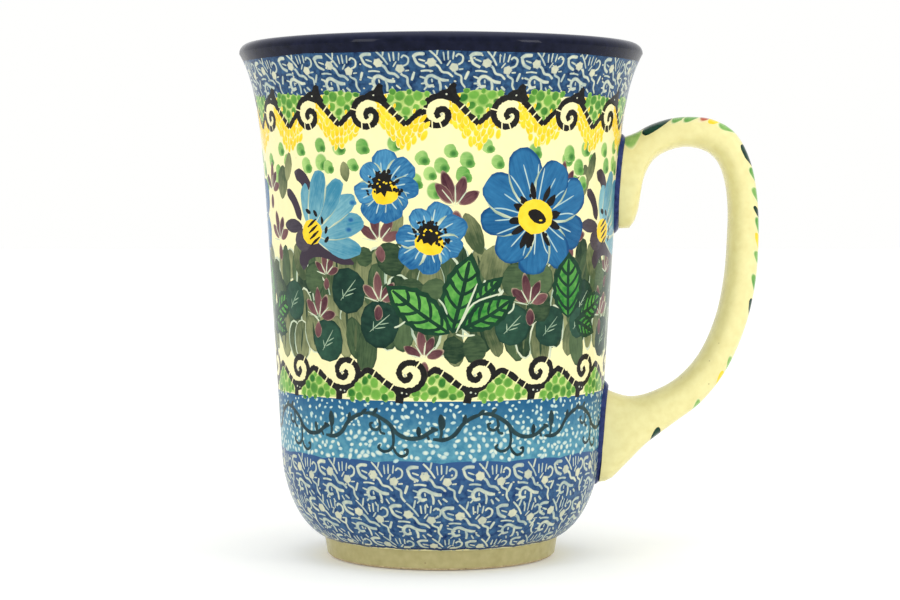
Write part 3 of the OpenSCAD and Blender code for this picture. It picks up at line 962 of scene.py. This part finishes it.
def veined_leaf(sheet, place, length, width, side_veins=4):
    """A toothed dark leaf with a bright field that darker veins divide."""
    t = np.linspace(0.02, 0.98, 2 * side_veins + 6)
    teeth = 1 + 0.10 * (np.arange(len(t)) % 2)
    half = width / 2 * np.sin(math.pi * t ** 0.95) ** 0.7
    lower = np.stack([t * length, -half * teeth], 1)
    upper = np.stack([t * length, half * teeth], 1)[::-1]
    patch(sheet, place, np.concatenate([[(-0.2, 0)], lower, [(length * 1.04, 0)], upper]), "leaf_rim",
          wobble=0.08, size=9)
    field = np.stack([0.5 + t * (length - 1.4), half * teeth * 0.82 - 0.3], 1)
    field[:, 1] = np.clip(field[:, 1], 0.1, None)
    brush = np.array([[2 / length, 0, -1], [0, 1.6 / width, 0], [0, 0, 1.0]])
    outline = np.concatenate([field * (1, -1), field[::-1]])
    lay(sheet, place, wobbled(outline, 0.07), "leaf_green", brush)
    stroke(sheet, place, [(0, 0), (length * 0.5, rng.normal(0, 0.25)), (length * 0.92, 0)], 0.9, "leaf_rim",
           ends=0.5, steps=4, wobble=0.1)
    for i in range(side_veins):
        start = length * (0.12 + 0.72 * i / side_veins)
        reach = np.interp((start / length) + 0.16, t, half)
        for side in (1, -1):
            tip = (start + reach * 0.95, side * reach * 0.9)
            stroke(sheet, place, [(start, 0), (start + reach * 0.4, side * reach * 0.52), tip], 0.7,
                   "leaf_rim", ends=0.5, steps=3, wobble=0.1)


def round_leaf(sheet, place, size):
    """A dark round leaf with a pale vein and three side veins."""
    blob(sheet, place, size, size * 1.1, "leaf_dark", wobble=0.22, steps=12, square=0.9)
    for start, end in (((-0.20, -0.25), (0.20, 0.28)), ((-0.08, -0.14), (0.16, -0.04)),
                       ((0.0, -0.02), (0.22, 0.08)), ((-0.12, -0.2), (-0.16, 0.02))):
        stroke(sheet, place, [np.array(start) * size, np.array(end) * size], 0.28, "vein", ends=0.3, steps=2)


def blossom(sheet, place, size):
    """A small blossom of plum lobes round a bare point."""
    for turn, share in LOBES:
        here = shifted(place, 0, 0, turn + rng.normal(0, 4))
        blade(sheet, shifted(here, size * 0.12, 0), size * share, size * 0.36, "plum", wobble=0.1)
    for turn in (115, 77, 40, 160):
        stroke(sheet, shifted(place, 0, 0, turn), [(0.05 * size, 0), (size * 0.62, 0.05 * size)], 0.34,
               "pale_line", ends=0.4, steps=2)


def pressed_dab(sheet, angle, z, size=3.3):
    """A light-green dab with the darker spot where the brush was pressed."""
    place = spot(angle, z)
    blob(sheet, place, size, size * 1.12, "light_green", wobble=0.2, steps=11)
    blob(sheet, shifted(place, 0.22 * size, -0.2 * size), size * 0.66, size * 0.62, "press_green",
         wobble=0.1, steps=9)


# %% Flowers


def petals(sheet, place, spokes, ink_name, start, vein_count):
    """Petals as (turn, length, width), each with a bare gap beside it and fine veins in it."""
    for turn, length, width in spokes:
        here = shifted(place, 0, 0, turn)
        blade(sheet, shifted(here, start, 0), length - start - 0.5, width + 0.55, "pale_line",
              belly=1.2, blunt=0.42, wobble=0.05, steps=10)
        blade(sheet, shifted(here, start, 0), length - start, width, ink_name, belly=1.5, blunt=0.36,
              wobble=0.22, steps=12)
        for k in range(vein_count):
            side = (k - (vein_count - 1) / 2) * width * 0.3
            bend = side * 0.9 + rng.normal(0, 0.2)
            stroke(sheet, here, [(start + 0.3, side * 0.35), (length * 0.5, side), (length * rng.uniform(
                0.62, 0.78), side + bend * 0.5)], 0.34, "petal_line", ends=0.3, steps=3)


def small_flower(sheet, place):
    """A mid-blue flower: black dots crowd the upper half of a yellow eye."""
    petals(sheet, place, [(82, 8.6, 5.6), (38, 8.6, 6.0), (-4, 7.7, 4.8), (-42, 6.4, 4.0),
                          (-78, 7.6, 5.6), (-126, 8.2, 5.6), (-172, 7.4, 4.8), (128, 7.2, 4.6)],
           "mid_blue", 1.4, vein_count=2)
    blob(sheet, shifted(place, 0.2, -0.9), 6.4, 4.8, "yellow_wash", wobble=0.25)
    star(sheet, shifted(place, -0.3, 1.2), 2.6, "flower_black", points=9, depth=0.2)
    for _ in range(58):
        turn = rng.uniform(-35, 215)
        reach = rng.uniform(0.6, 4.3)
        x = reach * math.cos(math.radians(turn))
        y = reach * math.sin(math.radians(turn)) * 0.85 + 0.4
        blob(sheet, shifted(place, x, y, rng.uniform(0, 180)), rng.uniform(0.5, 1.1), rng.uniform(0.5, 0.9),
             "flower_black", wobble=0.06, steps=7)
    for _ in range(7):
        blob(sheet, shifted(place, rng.uniform(-1.8, 1.8), rng.uniform(0.4, 2.0)), 0.55, 0.45, "yellow_wash",
             steps=6)


def big_flower(sheet, place):
    """The deep-blue flower: wide overlapping petals round a yellow and black eye."""
    petals(sheet, place, [(-18, 15.0, 8.6), (-52, 13.6, 7.6), (-92, 12.8, 8.6), (-134, 12.6, 8.4),
                          (24, 15.6, 8.8), (184, 13.4, 7.0), (148, 15.0, 8.6), (108, 15.8, 8.4),
                          (62, 13.8, 8.8)], "deep_blue", 1.6, vein_count=3)
    for turn in (128, 158, 188, 212, 98, 70, 35, 2, -18, -58, -102, -128):
        here = shifted(place, 0, 0, turn + rng.normal(0, 4))
        blade(sheet, shifted(here, 3.6, 0), rng.uniform(2.6, 4.6), rng.uniform(1.0, 1.9), "flower_black",
              belly=0.8, wobble=0.12)
        if rng.random() < 0.6:
            blob(sheet, shifted(here, rng.uniform(4.6, 6.4), rng.normal(0, 0.7)), 0.9, 0.7, "flower_black",
                 steps=7)
    blob(sheet, place, 9.0, 8.0, "yellow_wash", wobble=0.25, steps=14)
    blob(sheet, shifted(place, 0.1, 0.1, -28), 5.2, 3.0, "flower_black", wobble=0.12, steps=12)
    blob(sheet, shifted(place, 1.1, -0.75), 1.0, 0.45, "yellow_wash", wobble=0.05, steps=7)


def pale_flower(sheet, place):
    """The pale-blue flower seen from the side, with smoke-grey leaves behind it."""
    for points, width in (([(-3.0, -8.0), (-2.4, -5.0), (1.0, -3.4), (6.0, -3.9), (12.4, -6.4)], 3.4),
                          ([(-4.6, 14.2), (-1.5, 12.6), (0.2, 9.5), (0.6, 6.6)], 3.0),
                          ([(-8.2, 10.2), (-5.2, 7.4), (-3.2, 3.2)], 2.3)):
        stroke(sheet, place, points, width, "smoke", ends=0.15, steps=5)
    blade(sheet, shifted(place, -2.6, 1.8, 178), 7.6, 3.3, "smoke")
    petals(sheet, place, [(96, 11.4, 3.4), (-14, 15.0, 4.4), (12, 15.6, 5.4), (34, 15.8, 4.8),
                          (52, 15.4, 5.0), (73, 15.2, 4.8)], "pale_blue", 1.8, vein_count=0)
    for x, y in ((12.0, 3.4), (11.4, 1.2), (12.6, 7.2)):
        blob(sheet, shifted(place, x, y), 2.0, 1.4, "blue_pool", wobble=0.1, steps=9)
    blob(sheet, shifted(place, -2.8, -1.4), 6.0, 5.4, "smoke", wobble=0.15)
    blob(sheet, shifted(place, 0.5, 0.6), 6.6, 5.6, "yellow_wash", wobble=0.15)
    for k in range(4):
        stroke(sheet, shifted(place, 0.6 + 0.3 * k, 2.4 - 1.35 * k, 28), [(-1.6, 0), (1.9, 0.3)], 0.75,
               "flower_black", ends=0.4, steps=2)
    for turn in (95, 68, 40, 12, -12):
        blob(sheet, shifted(shifted(place, 0, 0, turn), 5.2, 0, 60), 1.9, 0.95, "flower_black",
             wobble=0.08, steps=8)


# %% The whole garden
SHOOTS_IN_ROW = 62
DABS = ((-68, 93), (-62.5, 90.5), (-63, 88), (-59.5, 95.4), (-56, 92.6), (-48.3, 95.2), (-46, 91.6),
        (-39.6, 96), (-39.5, 92.2), (-36.6, 91.2), (-32.5, 95.6), (-27.8, 91.6), (-24.4, 95.6), (-14, 96.2),
        (-5.8, 93), (-8, 87.8), (-3.4, 89.6), (0, 91.4), (-2, 85.8), (2.8, 94.6), (7.6, 92.6), (6.6, 89.4),
        (14, 95.6), (17.2, 92.2), (29.4, 94.6), (42.8, 94.2), (47.4, 91.2), (49.8, 87.6))


def shoots(sheet):
    """Soft grey-green shoots fill the lower part all the way round."""
    for row, (z, long) in enumerate(((69.5, 8.5), (65.5, 12), (61.5, 11), (57.5, 12), (53.6, 11))):
        for i in range(SHOOTS_IN_ROW):
            angle = (i + 0.5 * (row % 2)) * 360 / SHOOTS_IN_ROW + rng.normal(0, 0.9)
            ink_name = "olive" if rng.random() < 0.56 else "moss"
            here = shifted(spot(angle, z + rng.normal(0, 1.2), 90 + rng.normal(0, 14)), -long / 2, 0)
            reach = long * rng.uniform(0.75, 1.05)
            wide = rng.uniform(3.8, 6.2)
            if rng.random() < 0.45:
                blade(sheet, shifted(here, -0.3, 0), reach + 0.6, wide + 0.9, "pale_line", blunt=0.45)
            blade(sheet, here, reach, wide, ink_name, blunt=0.45, wobble=0.2)
            if rng.random() < 0.4:
                stroke(sheet, here, [(reach * 0.2, wide * 0.1), (reach * 0.8, rng.normal(0, 0.5))], 0.6,
                       "moss" if ink_name == "olive" else "olive", ends=0.3, steps=3)


def garden(sheet, turn):
    """One group of flowers, from the dabs behind it to the leaf sprays in front."""
    def at(angle, z, lean=0.0, size=1.0):
        return spot(angle + turn, z, lean, size)

    for angle, z in DABS:
        pressed_dab(sheet, angle + turn, z, rng.uniform(3.0, 3.7))
    for angle, z, lean, long, wide in ((7.5, 81, -68, 10, 4.2), (-12.5, 81.5, -110, 6.5, 3.2),
                                       (-61, 84, 78, 8, 5), (-57, 88, 74, 7, 3), (18, 74, -100, 9, 7),
                                       (-31, 92.4, -82, 4.6, 2.6), (-54, 74, -70, 9, 5)):
        blade(sheet, at(angle, z, lean), long, wide, "olive")
    for angle, z, size in ((-31, 63.6, 9.4), (-20, 56.4, 9.4), (-40, 52.2, 8.8), (-56.5, 61, 8.4),
                           (38, 55.4, 8.8), (23.4, 56, 8.6), (51, 56, 6.6)):
        round_leaf(sheet, at(angle, z, rng.normal(0, 8)), size)
    for angle, z, size in ((-16, 71, 7.4), (-9, 63.5, 6.8), (-2, 63.5, 6.8), (33.5, 66, 7.6), (24, 66, 7.6),
                           (-24.5, 71, 5), (-45, 66, 7), (33, 60, 7), (4, 50.6, 6), (11, 51, 6.4)):
        blob(sheet, at(angle, z), size * 0.9, size, "moss", wobble=0.25)
    for angle, z, size in ((4.4, 82.4, 7.6), (-19.5, 74.6, 6.6), (-19.8, 61.2, 6.0), (-43.5, 57.2, 6.4),
                           (-64.5, 74.5, 6.4), (-69, 86, 6.0), (-5.6, 48.8, 5.8), (29.4, 60.4, 6.6),
                           (-39.5, 67, 4.8)):
        blossom(sheet, at(angle, z, rng.normal(0, 8)), size)
    pale_flower(sheet, at(-45.8, 76))
    small_flower(sheet, at(-17.5, 86.4, 4))
    small_flower(sheet, at(-3.6, 75.2, -14))
    big_flower(sheet, at(31, 80))
    for angle, z, lean, long, wide in ((3.6, 54.6, 77, 17.5, 8.4), (2.6, 54.4, 143, 17, 8.0),
                                       (7.0, 55.4, 30, 13.5, 6.2), (9.6, 60.8, 40, 9, 3.8),
                                       (46.0, 57.2, 93, 14.5, 9.6), (52, 57.6, 22, 11, 6.0),
                                       (49.6, 56.6, -20, 9, 5.0)):
        veined_leaf(sheet, at(angle, z, lean), long, wide)
    for start, bend, end in (((4.6, 54.5), (8.0, 60), (11, 65.4)), ((6.0, 56.4), (10, 61), (18.6, 63.2)),
                             ((4.6, 54.2), (7, 53.8), (10.5, 54)), ((1.9, 58.6), (0.8, 60.6), (-0.8, 62)),
                             ((-11, 57), (-13, 56), (-14.5, 55.6)), ((21, 58.6), (22.6, 59.6), (23, 61))):
        stroke(sheet, spot(turn, 60), [(a * 0.725, z - 60) for a, z in (start, bend, end)], 0.42,
               "pale_line", ends=0.4, steps=4)


print(len(DABS), "dabs in each group")

# %% [markdown]
# ## Cutting the painting into bands and wrapping them on
# The whole outside is one sheet, so marks run freely over the band lines. It is then cut into six
# rings, because each ring gets its own picture when the colours are baked and stays sharp. Each
# ring is a closed coat of glaze, three tenths of a millimetre thick. The coat leaves the two places
# bare where the handle is stuck on. The wall curves most at the bowl and under the lip, so the
# sheet's rows lie closer together there.

# %% The joints' outline
JOINTS = {"upper_slip_joint": (87.6, 11.9), "lower_slip_joint": (28.4, 12.4)}
JOINT_HALF_W = 8.5
SLIP_RIM = 0.9
HANDLE_AT = 90.0
OUTER_FACE = 2 / 3.2
INNER_FACE = 2 / 2.2


def rounded_ring(half_w, half_h, count):
    """Points round a joint, seen along the handle: squarer above, rounder below."""
    a = np.linspace(0, 2 * math.pi, count, endpoint=False)
    x, y = boxy(a, np.where(a <= math.pi, OUTER_FACE, INNER_FACE))
    return np.stack([half_w * x, half_h * y], 1)


def on_wall(across, z):
    """The flat sheet's point for a distance across the handle's plane and a height."""
    turn = math.radians(HANDLE_AT) + math.asin(across / float(outer_r(z)))
    return turn * FLAT_R, up_at(z)


print("the upper joint's side meets the sheet at", np.round(on_wall(JOINT_HALF_W, 87.6), 1).tolist())

# %% Paint and wrap the outside
BOWL_STEP = 1.3
LIP_STEP = 1.6
BANDS = (("base_stamp_glaze", FOOT_H, 26.0), ("vine_band_glaze", 26.0, 39.3),
         ("lower_scroll_glaze", 39.3, 49.0), ("garden_glaze", 49.0, 96.6),
         ("upper_scroll_glaze", 96.6, 107.0), ("rim_stamp_glaze", 107.0, SKIN_TOP))
cuts = [up_at(low) for _, low, _ in BANDS] + [up_at(SKIN_TOP)]
rows = list(np.arange(cuts[0], cuts[1], BOWL_STEP)) + list(np.arange(cuts[1], cuts[4], GRID))
rows += list(np.arange(cuts[4], cuts[-1], LIP_STEP))
rows = [r for r in rows if min(abs(r - c) for c in cuts) > 0.4]
outside = Sheet(2 * math.pi * FLAT_R, rows, cuts)
paint_squiggles(outside)
paint_vine(outside)
shoots(outside)
for turn in (110, -125, 0):
    garden(outside, turn)
for angle, z in ((165, 93), (171, 90), (-178, 95), (-172, 91), (-166, 94), (177, 87), (-170, 86),
                 (170, 96)):
    pressed_dab(outside, angle, z)
paint_scrolls(outside)
blue_band(outside, "cobalt", 116.25, SKIN_TOP + 2, 9, -0.3)
for z, half_h in JOINTS.values():
    ring = rounded_ring(JOINT_HALF_W + SLIP_RIM, half_h, 48)
    outside.mark([on_wall(y, z + h) for y, h in ring], "hole", np.eye(3))
outside.cut_up()
for i, (name, _, _) in enumerate(BANDS):
    band = wrapped(name, outside, cuts[i], cuts[i + 1], cup_wall, GLAZE_T)
    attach(band, "root")
    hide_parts("outer_glaze")

# %% [markdown]
# ## The turned cup and its two plain coats
# A cup is turned on a wheel, so it is a lathe shape: one outline, spun round the axis. The outline
# is drawn by extruding a single corner from point to point, and the spin tool turns it. The same
# tool makes the cobalt coat that wraps over the lip and the cream coat inside. The foot's corners
# are softened with a bevel. The face that it stands on has no glaze, which would stick to the kiln
# shelf.

# %% The lathe


def turned(name, outline, steps=160):
    """Spin an outline, given as radius and height in millimetres, into a closed shape."""
    bpy.ops.object.select_all(action="DESELECT")
    bpy.ops.mesh.primitive_plane_add(size=0.01, location=(0, 0, 0))
    made = bpy.context.object
    made.name = name
    made.data.name = name
    bpy.ops.object.mode_set(mode="EDIT")
    bpy.ops.mesh.select_all(action="SELECT")
    bpy.ops.mesh.merge(type="CENTER")
    points = [Vector((AXIS_X + r, 0, z)) * MM for r, z in outline]
    bpy.ops.transform.translate(value=points[0])
    for here, ahead in zip(points, points[1:]):
        bpy.ops.mesh.extrude_region_move(TRANSFORM_OT_translate={"value": ahead - here})
    bpy.ops.mesh.select_all(action="SELECT")
    bpy.ops.mesh.spin(steps=steps, angle=2 * math.pi, center=(AXIS_X * MM, 0, 0), axis=(0, 0, 1))
    bpy.ops.mesh.select_all(action="SELECT")
    bpy.ops.mesh.remove_doubles(threshold=2e-6)
    bpy.ops.mesh.normals_make_consistent(inside=False)
    bpy.ops.object.mode_set(mode="OBJECT")
    bpy.ops.object.shade_smooth_by_angle(angle=math.radians(35))
    print(name, len(made.data.polygons), "faces")
    return made


def heights(low, high, steps):
    """Heights that crowd together near both ends, where the wall curves most."""
    return low + (high - low) * (1 - np.cos(np.linspace(0, math.pi, steps + 1))) / 2


def wall_line(radius, low, high, inset, steps):
    return [(float(radius(z)) + inset, float(z)) for z in heights(low, high, steps)]


def roll_line(inset):
    turns = np.radians(np.arange(15, 180, 15))
    return [(LIP_R - ROLL_R + (ROLL_R - inset) * math.cos(a), WIDEST_Z + (ROLL_R - inset) * math.sin(a))
            for a in turns]


# %% The clay cup
clay_line = [(0, RECESS_H), (FOOT_HOLE_R - 0.8, RECESS_H), (FOOT_HOLE_R, 0), (FOOT_R - 0.5, 0), (FOOT_R, 0.5)]
clay_line += wall_line(outer_r, FOOT_H, WIDEST_Z, -GLAZE_T, 60)
clay_line += roll_line(GLAZE_T)
clay_line += wall_line(inner_r, FLOOR_Z, WIDEST_Z, GLAZE_T, 50)[::-1]
clay_line += [(0, FLOOR_Z - GLAZE_T)]
clay = turned("clay_cup", clay_line)
soften = clay.modifiers.new("soft_foot", "BEVEL")
soften.width = 0.35 * MM
soften.segments = 3
soften.limit_method = "ANGLE"
soften.angle_limit = math.radians(38)
bpy.ops.object.modifier_apply(modifier="soft_foot")
bpy.ops.object.shade_smooth_by_angle(angle=math.radians(35))
# The foot's side gets the darker cream, which is painted shade; the ring that it stands on is bare clay.
clay.data.materials.append(INKS["shaded_foot_cream"])
clay.data.materials.append(INKS["bare_clay"])
for face in clay.data.polygons:
    reach = math.hypot(face.center.x / MM - AXIS_X, face.center.y / MM)
    face.material_index = int(face.center.z < 0.45 * MM and reach > FOOT_HOLE_R - 0.7)
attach(clay, "root")
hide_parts("mug_body")

# %% The cobalt lip and the cream inside
lip_line = wall_line(outer_r, SKIN_TOP, WIDEST_Z, 0, 8) + roll_line(0)
lip_line += wall_line(inner_r, LIP_IN_Z, WIDEST_Z, 0, 8)[::-1]
lip_line += wall_line(inner_r, LIP_IN_Z, WIDEST_Z, GLAZE_T, 8) + roll_line(GLAZE_T)[::-1]
lip_line += wall_line(outer_r, SKIN_TOP, WIDEST_Z, -GLAZE_T, 8)[::-1]
lip = turned("cobalt_lip", lip_line + lip_line[:1])
lip.data.materials.append(INKS["cobalt"])
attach(lip, "root")
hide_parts("lip_glaze")

liner_line = [(0, FLOOR_Z - GLAZE_T)] + wall_line(inner_r, FLOOR_Z, LIP_IN_Z, GLAZE_T, 50)
liner_line += wall_line(inner_r, FLOOR_Z, LIP_IN_Z, 0, 50)[::-1] + [(0, FLOOR_Z)]
liner = turned("cream_liner", liner_line)
# The liner gets the same darker cream, which is painted shade.
liner.data.materials.append(INKS["handle_cream"])
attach(liner, "root")
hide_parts("liner_glaze")

# %% [markdown]
# ## The handle's coat
# The strap is formed on its own, bent while soft and stuck on. It stays as the frame has it, and
# shows no clay, because its coat covers it. The coat is a sheet again, this time wrapped round the
# strap: one way of the sheet goes round the section, the other along the strap. Leaves and dabs are
# brushed along both edges of its outer face and down its middle.

# %% The strap as a surface to wrap round
STATIONS = np.array([
    (38.0, 97.6, 38.0, 78.2, 16.5), (43.0, 98.6, 44.2, 76.8, 16.5), (46.4, 99.8, 46.6, 80.6, 16.0),
    (50.0, 101.7, 47.6, 87.6, 15.0), (54.5, 103.1, 50.6, 93.4, 14.4), (59.6, 103.5, 56.4, 96.2, 14.0),
    (65.0, 102.7, 61.8, 95.9, 14.0), (70.0, 99.4, 65.6, 93.4, 14.0), (73.4, 92.8, 67.6, 88.6, 14.0),
    (75.0, 84.2, 68.4, 82.2, 14.0), (75.3, 74.5, 68.2, 74.0, 14.0), (74.5, 64.0, 67.4, 64.8, 14.0),
    (72.2, 54.0, 65.4, 55.6, 14.0), (68.0, 44.2, 61.6, 47.2, 14.0), (62.0, 36.2, 56.4, 41.4, 14.2),
    (55.0, 30.8, 50.6, 38.2, 14.8), (48.6, 26.0, 45.6, 37.0, 15.8), (43.4, 20.8, 41.6, 37.8, 16.8),
    (39.4, 17.2, 37.4, 39.6, 17.0), (35.0, 17.0, 33.0, 40.4, 17.0)])
ROUND = 36.0
TRIM = 0.9


def strap(t, a):
    """Points of the strap for a count t of stations and an angle a round the section."""
    i = np.clip(np.floor(t).astype(int), 0, len(STATIONS) - 2)
    u = (t - i)[:, None]
    before, b, c, after = [STATIONS[np.clip(i + k, 0, len(STATIONS) - 1)] for k in (-1, 0, 1, 2)]
    s = between(before, b, c, after, u)
    middle = (s[:, 0:2] + s[:, 2:4]) / 2
    across = (s[:, 0:2] - s[:, 2:4]) / 2
    side, out = boxy(a, np.where(np.sin(a) >= 0, OUTER_FACE, INNER_FACE))
    x = middle[:, 0] + across[:, 0] * out
    z = middle[:, 1] + across[:, 1] * out
    return np.stack([AXIS_X + x, s[:, 4] / 2 * side, z], 1)


def run_along(points):
    """How far along a line each of its points lies."""
    return np.concatenate([[0], np.cumsum(np.linalg.norm(np.diff(points, axis=0), axis=1))])


TURN = np.linspace(-math.pi / 2, 1.5 * math.pi, 3601)
SECTION_RUN = run_along(strap(np.full(len(TURN), 9.0), TURN))
SECTION_RUN = (SECTION_RUN / SECTION_RUN[-1] - 0.5) * ROUND


def trimmed(a, inside, outside_of):
    """The station count where the strap leaves the slip, found by halving."""
    low = np.full(len(a), inside)
    high = np.full(len(a), outside_of)
    for _ in range(30):
        t = (low + high) / 2
        p = strap(t, a)
        buried = np.hypot(p[:, 0] - AXIS_X, p[:, 1]) < outer_r(p[:, 2]) + TRIM
        low = np.where(buried, t, low)
        high = np.where(buried, high, t)
    return (low + high) / 2


front_line = np.array([math.pi / 2])
FIRST = float(trimmed(front_line, 0.0, 5.0)[0])
LAST = float(trimmed(front_line, 19.0, 13.0)[0])
along = np.linspace(FIRST, LAST, 2000)
STRAP_RUN = run_along(strap(along, np.full(2000, math.pi / 2)))
STRAP_LONG = float(STRAP_RUN[-1])


def handle_wall(flat):
    """Places and outward normals for points on the handle's flat sheet, as cup_wall gives them."""
    def place(x, v):
        a = np.interp(x, SECTION_RUN, TURN)
        start = trimmed(a, 0.0, 5.0)
        end = trimmed(a, 19.0, 13.0)
        share = (np.interp(v, STRAP_RUN, along) - FIRST) / (LAST - FIRST)
        return strap(start + share * (end - start), a)

    x, v = flat[:, 0], flat[:, 1]
    round_way = place(np.clip(x + 0.06, -ROUND / 2, ROUND / 2), v) - place(
        np.clip(x - 0.06, -ROUND / 2, ROUND / 2), v)
    long_way = place(x, np.clip(v + 0.1, 0, STRAP_LONG)) - place(x, np.clip(v - 0.1, 0, STRAP_LONG))
    normals = np.cross(round_way, long_way)
    normals /= np.linalg.norm(normals, axis=1)[:, None]
    middle = place(np.zeros(len(x)), v) / 2 + place(np.full(len(x), -ROUND / 2), v) / 2
    where = place(x, v)
    if ((where - middle) * normals).sum() < 0:
        normals = -normals
    return where, normals


print("the strap is", round(STRAP_LONG, 1), "mm along its outer face")

# %% Brush the handle and wrap its coat
MARKS = ((2, "light_green", 4.5, 1.2), (8.5, "leaf_dark", 7, 2.0), (14, "light_green", 3.2, 1.4),
         (17, "light_green", 3.0, 1.3), (20, "red", 2.2, 1.0), (22.4, "yellow_wash", 2.2, 1.0),
         (26, "light_green", 4.2, 1.6), (34.5, "leaf_dark", 5.2, 2.0), (39.5, "light_green", 3.2, 1.6),
         (44.5, "light_green", 3.2, 1.6), (49, "leaf_dark", 2.0, 1.6), (51.8, "light_green", 3.6, 1.4),
         (55.5, "yellow_wash", 3.0, 1.4), (59.3, "light_green", 2.6, 1.2), (65.5, "light_green", 3.2, 1.4),
         (70.8, "leaf_dark", 3.6, 1.6), (85.5, "light_green", 3.0, 1.2), (89.5, "yellow_wash", 3.0, 1.2),
         (98, "light_green", 2.4, 1.0), (110, "leaf_dark", 2.6, 1.0))
handle_rows = list(np.arange(0, STRAP_LONG, 1.8))
handle_rows = [r for r in handle_rows if r < STRAP_LONG - 0.6] + [STRAP_LONG]
strap_sheet = Sheet(ROUND, handle_rows, [0.0, STRAP_LONG], step=0.6)
whole = [(-ROUND / 2, -1), (ROUND / 2, -1), (ROUND / 2, STRAP_LONG + 1), (-ROUND / 2, STRAP_LONG + 1)]
# The coat's ground is the darker cream, which is painted shade.
strap_sheet.mark(whole, "handle_cream", np.eye(3))
for at, ink_name, thick, reach in MARKS:
    half = 6.7 + 0.4 * reach + rng.normal(0, 0.25) - 0.7 * (at < 15)
    for side in (1, -1):
        long = rng.uniform(4.6, 6.0)
        there = shifted(np.eye(3), side * (half - long / 2), at + 1.6 * (side < 0), rng.normal(0, 8))
        blob(strap_sheet, there, long, thick * 1.1, ink_name, steps=20, square=0.8, wobble=0.1)
for i, at in enumerate(np.arange(3.0, STRAP_LONG - 9, 8.4)):
    ink_name = ("leaf_dark", "light_green", "yellow_wash")[i % 3]
    blade(strap_sheet, shifted(np.eye(3), rng.normal(0, 0.8), at, 90 + rng.normal(0, 16)), 6.6, 3.4,
          ink_name)
strap_sheet.cut_up()
coat = wrapped("handle_coat", strap_sheet, 0.0, STRAP_LONG, handle_wall, GLAZE_T)
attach(coat, "root")
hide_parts("handle_glaze")
handle_node = bpy.data.objects["handle"]
handle_node.data.materials.clear()
handle_node.data.materials.append(INKS["bare_clay"])

# %% [markdown]
# ## The slip that holds the handle
# Before a handle goes on, both faces are scored and wetted with slip, and what squeezes out is
# smoothed into a fillet. Here it took the cobalt, so a thin navy line runs round each joint. The
# fillet has to follow the wall's curve on one side and the strap on the other, which no operator
# does, so its rings are worked out from the wall's formula.

# %% Slip fillets
FILLET = ((0.85, -GLAZE_T), (0.88, 0.0), (0.80, 0.32), (0.55, 0.58), (0.25, 0.82), (-0.05, 1.05), (-0.6, 0.9))


def fillet(name, z, half_h, steps=120):
    corners = []
    for offset, lift in FILLET:
        ring = rounded_ring(JOINT_HALF_W + offset, half_h - SLIP_RIM + offset, steps)
        for across, up in ring:
            r = float(outer_r(z + up)) + lift
            corners.append((AXIS_X + math.sqrt(max(r * r - across * across, 0)), across, z + up))
    middle = float(outer_r(z))
    front = len(corners)
    corners += [(AXIS_X + middle + 0.9, 0, z), (AXIS_X + middle - GLAZE_T, 0, z)]
    faces = []
    for k in range(len(FILLET) - 1):
        for i in range(steps):
            n = (i + 1) % steps
            faces.append((k * steps + i, k * steps + n, (k + 1) * steps + n, (k + 1) * steps + i))
    top = (len(FILLET) - 1) * steps
    for i in range(steps):
        n = (i + 1) % steps
        faces.append((top + i, top + n, front))
        faces.append((n, i, front + 1))
    mesh = bpy.data.meshes.new(name)
    mesh.from_pydata([tuple(c * MM for c in p) for p in corners], [], faces)
    made = bpy.data.objects.new(name, mesh)
    bpy.context.collection.objects.link(made)
    bpy.ops.object.select_all(action="DESELECT")
    made.select_set(True)
    bpy.context.view_layer.objects.active = made
    bpy.ops.object.mode_set(mode="EDIT")
    bpy.ops.mesh.select_all(action="SELECT")
    bpy.ops.mesh.normals_make_consistent(inside=False)
    bpy.ops.object.mode_set(mode="OBJECT")
    bpy.ops.object.shade_smooth_by_angle(angle=math.radians(50))
    mesh.materials.append(INKS["slip_blue"])
    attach(made, "root")
    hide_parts(name.replace("_fillet", "_joint"))
    print(name, len(faces), "faces")


for name, (z, half_h) in JOINTS.items():
    fillet(name.replace("_joint", "_fillet"), z, half_h)
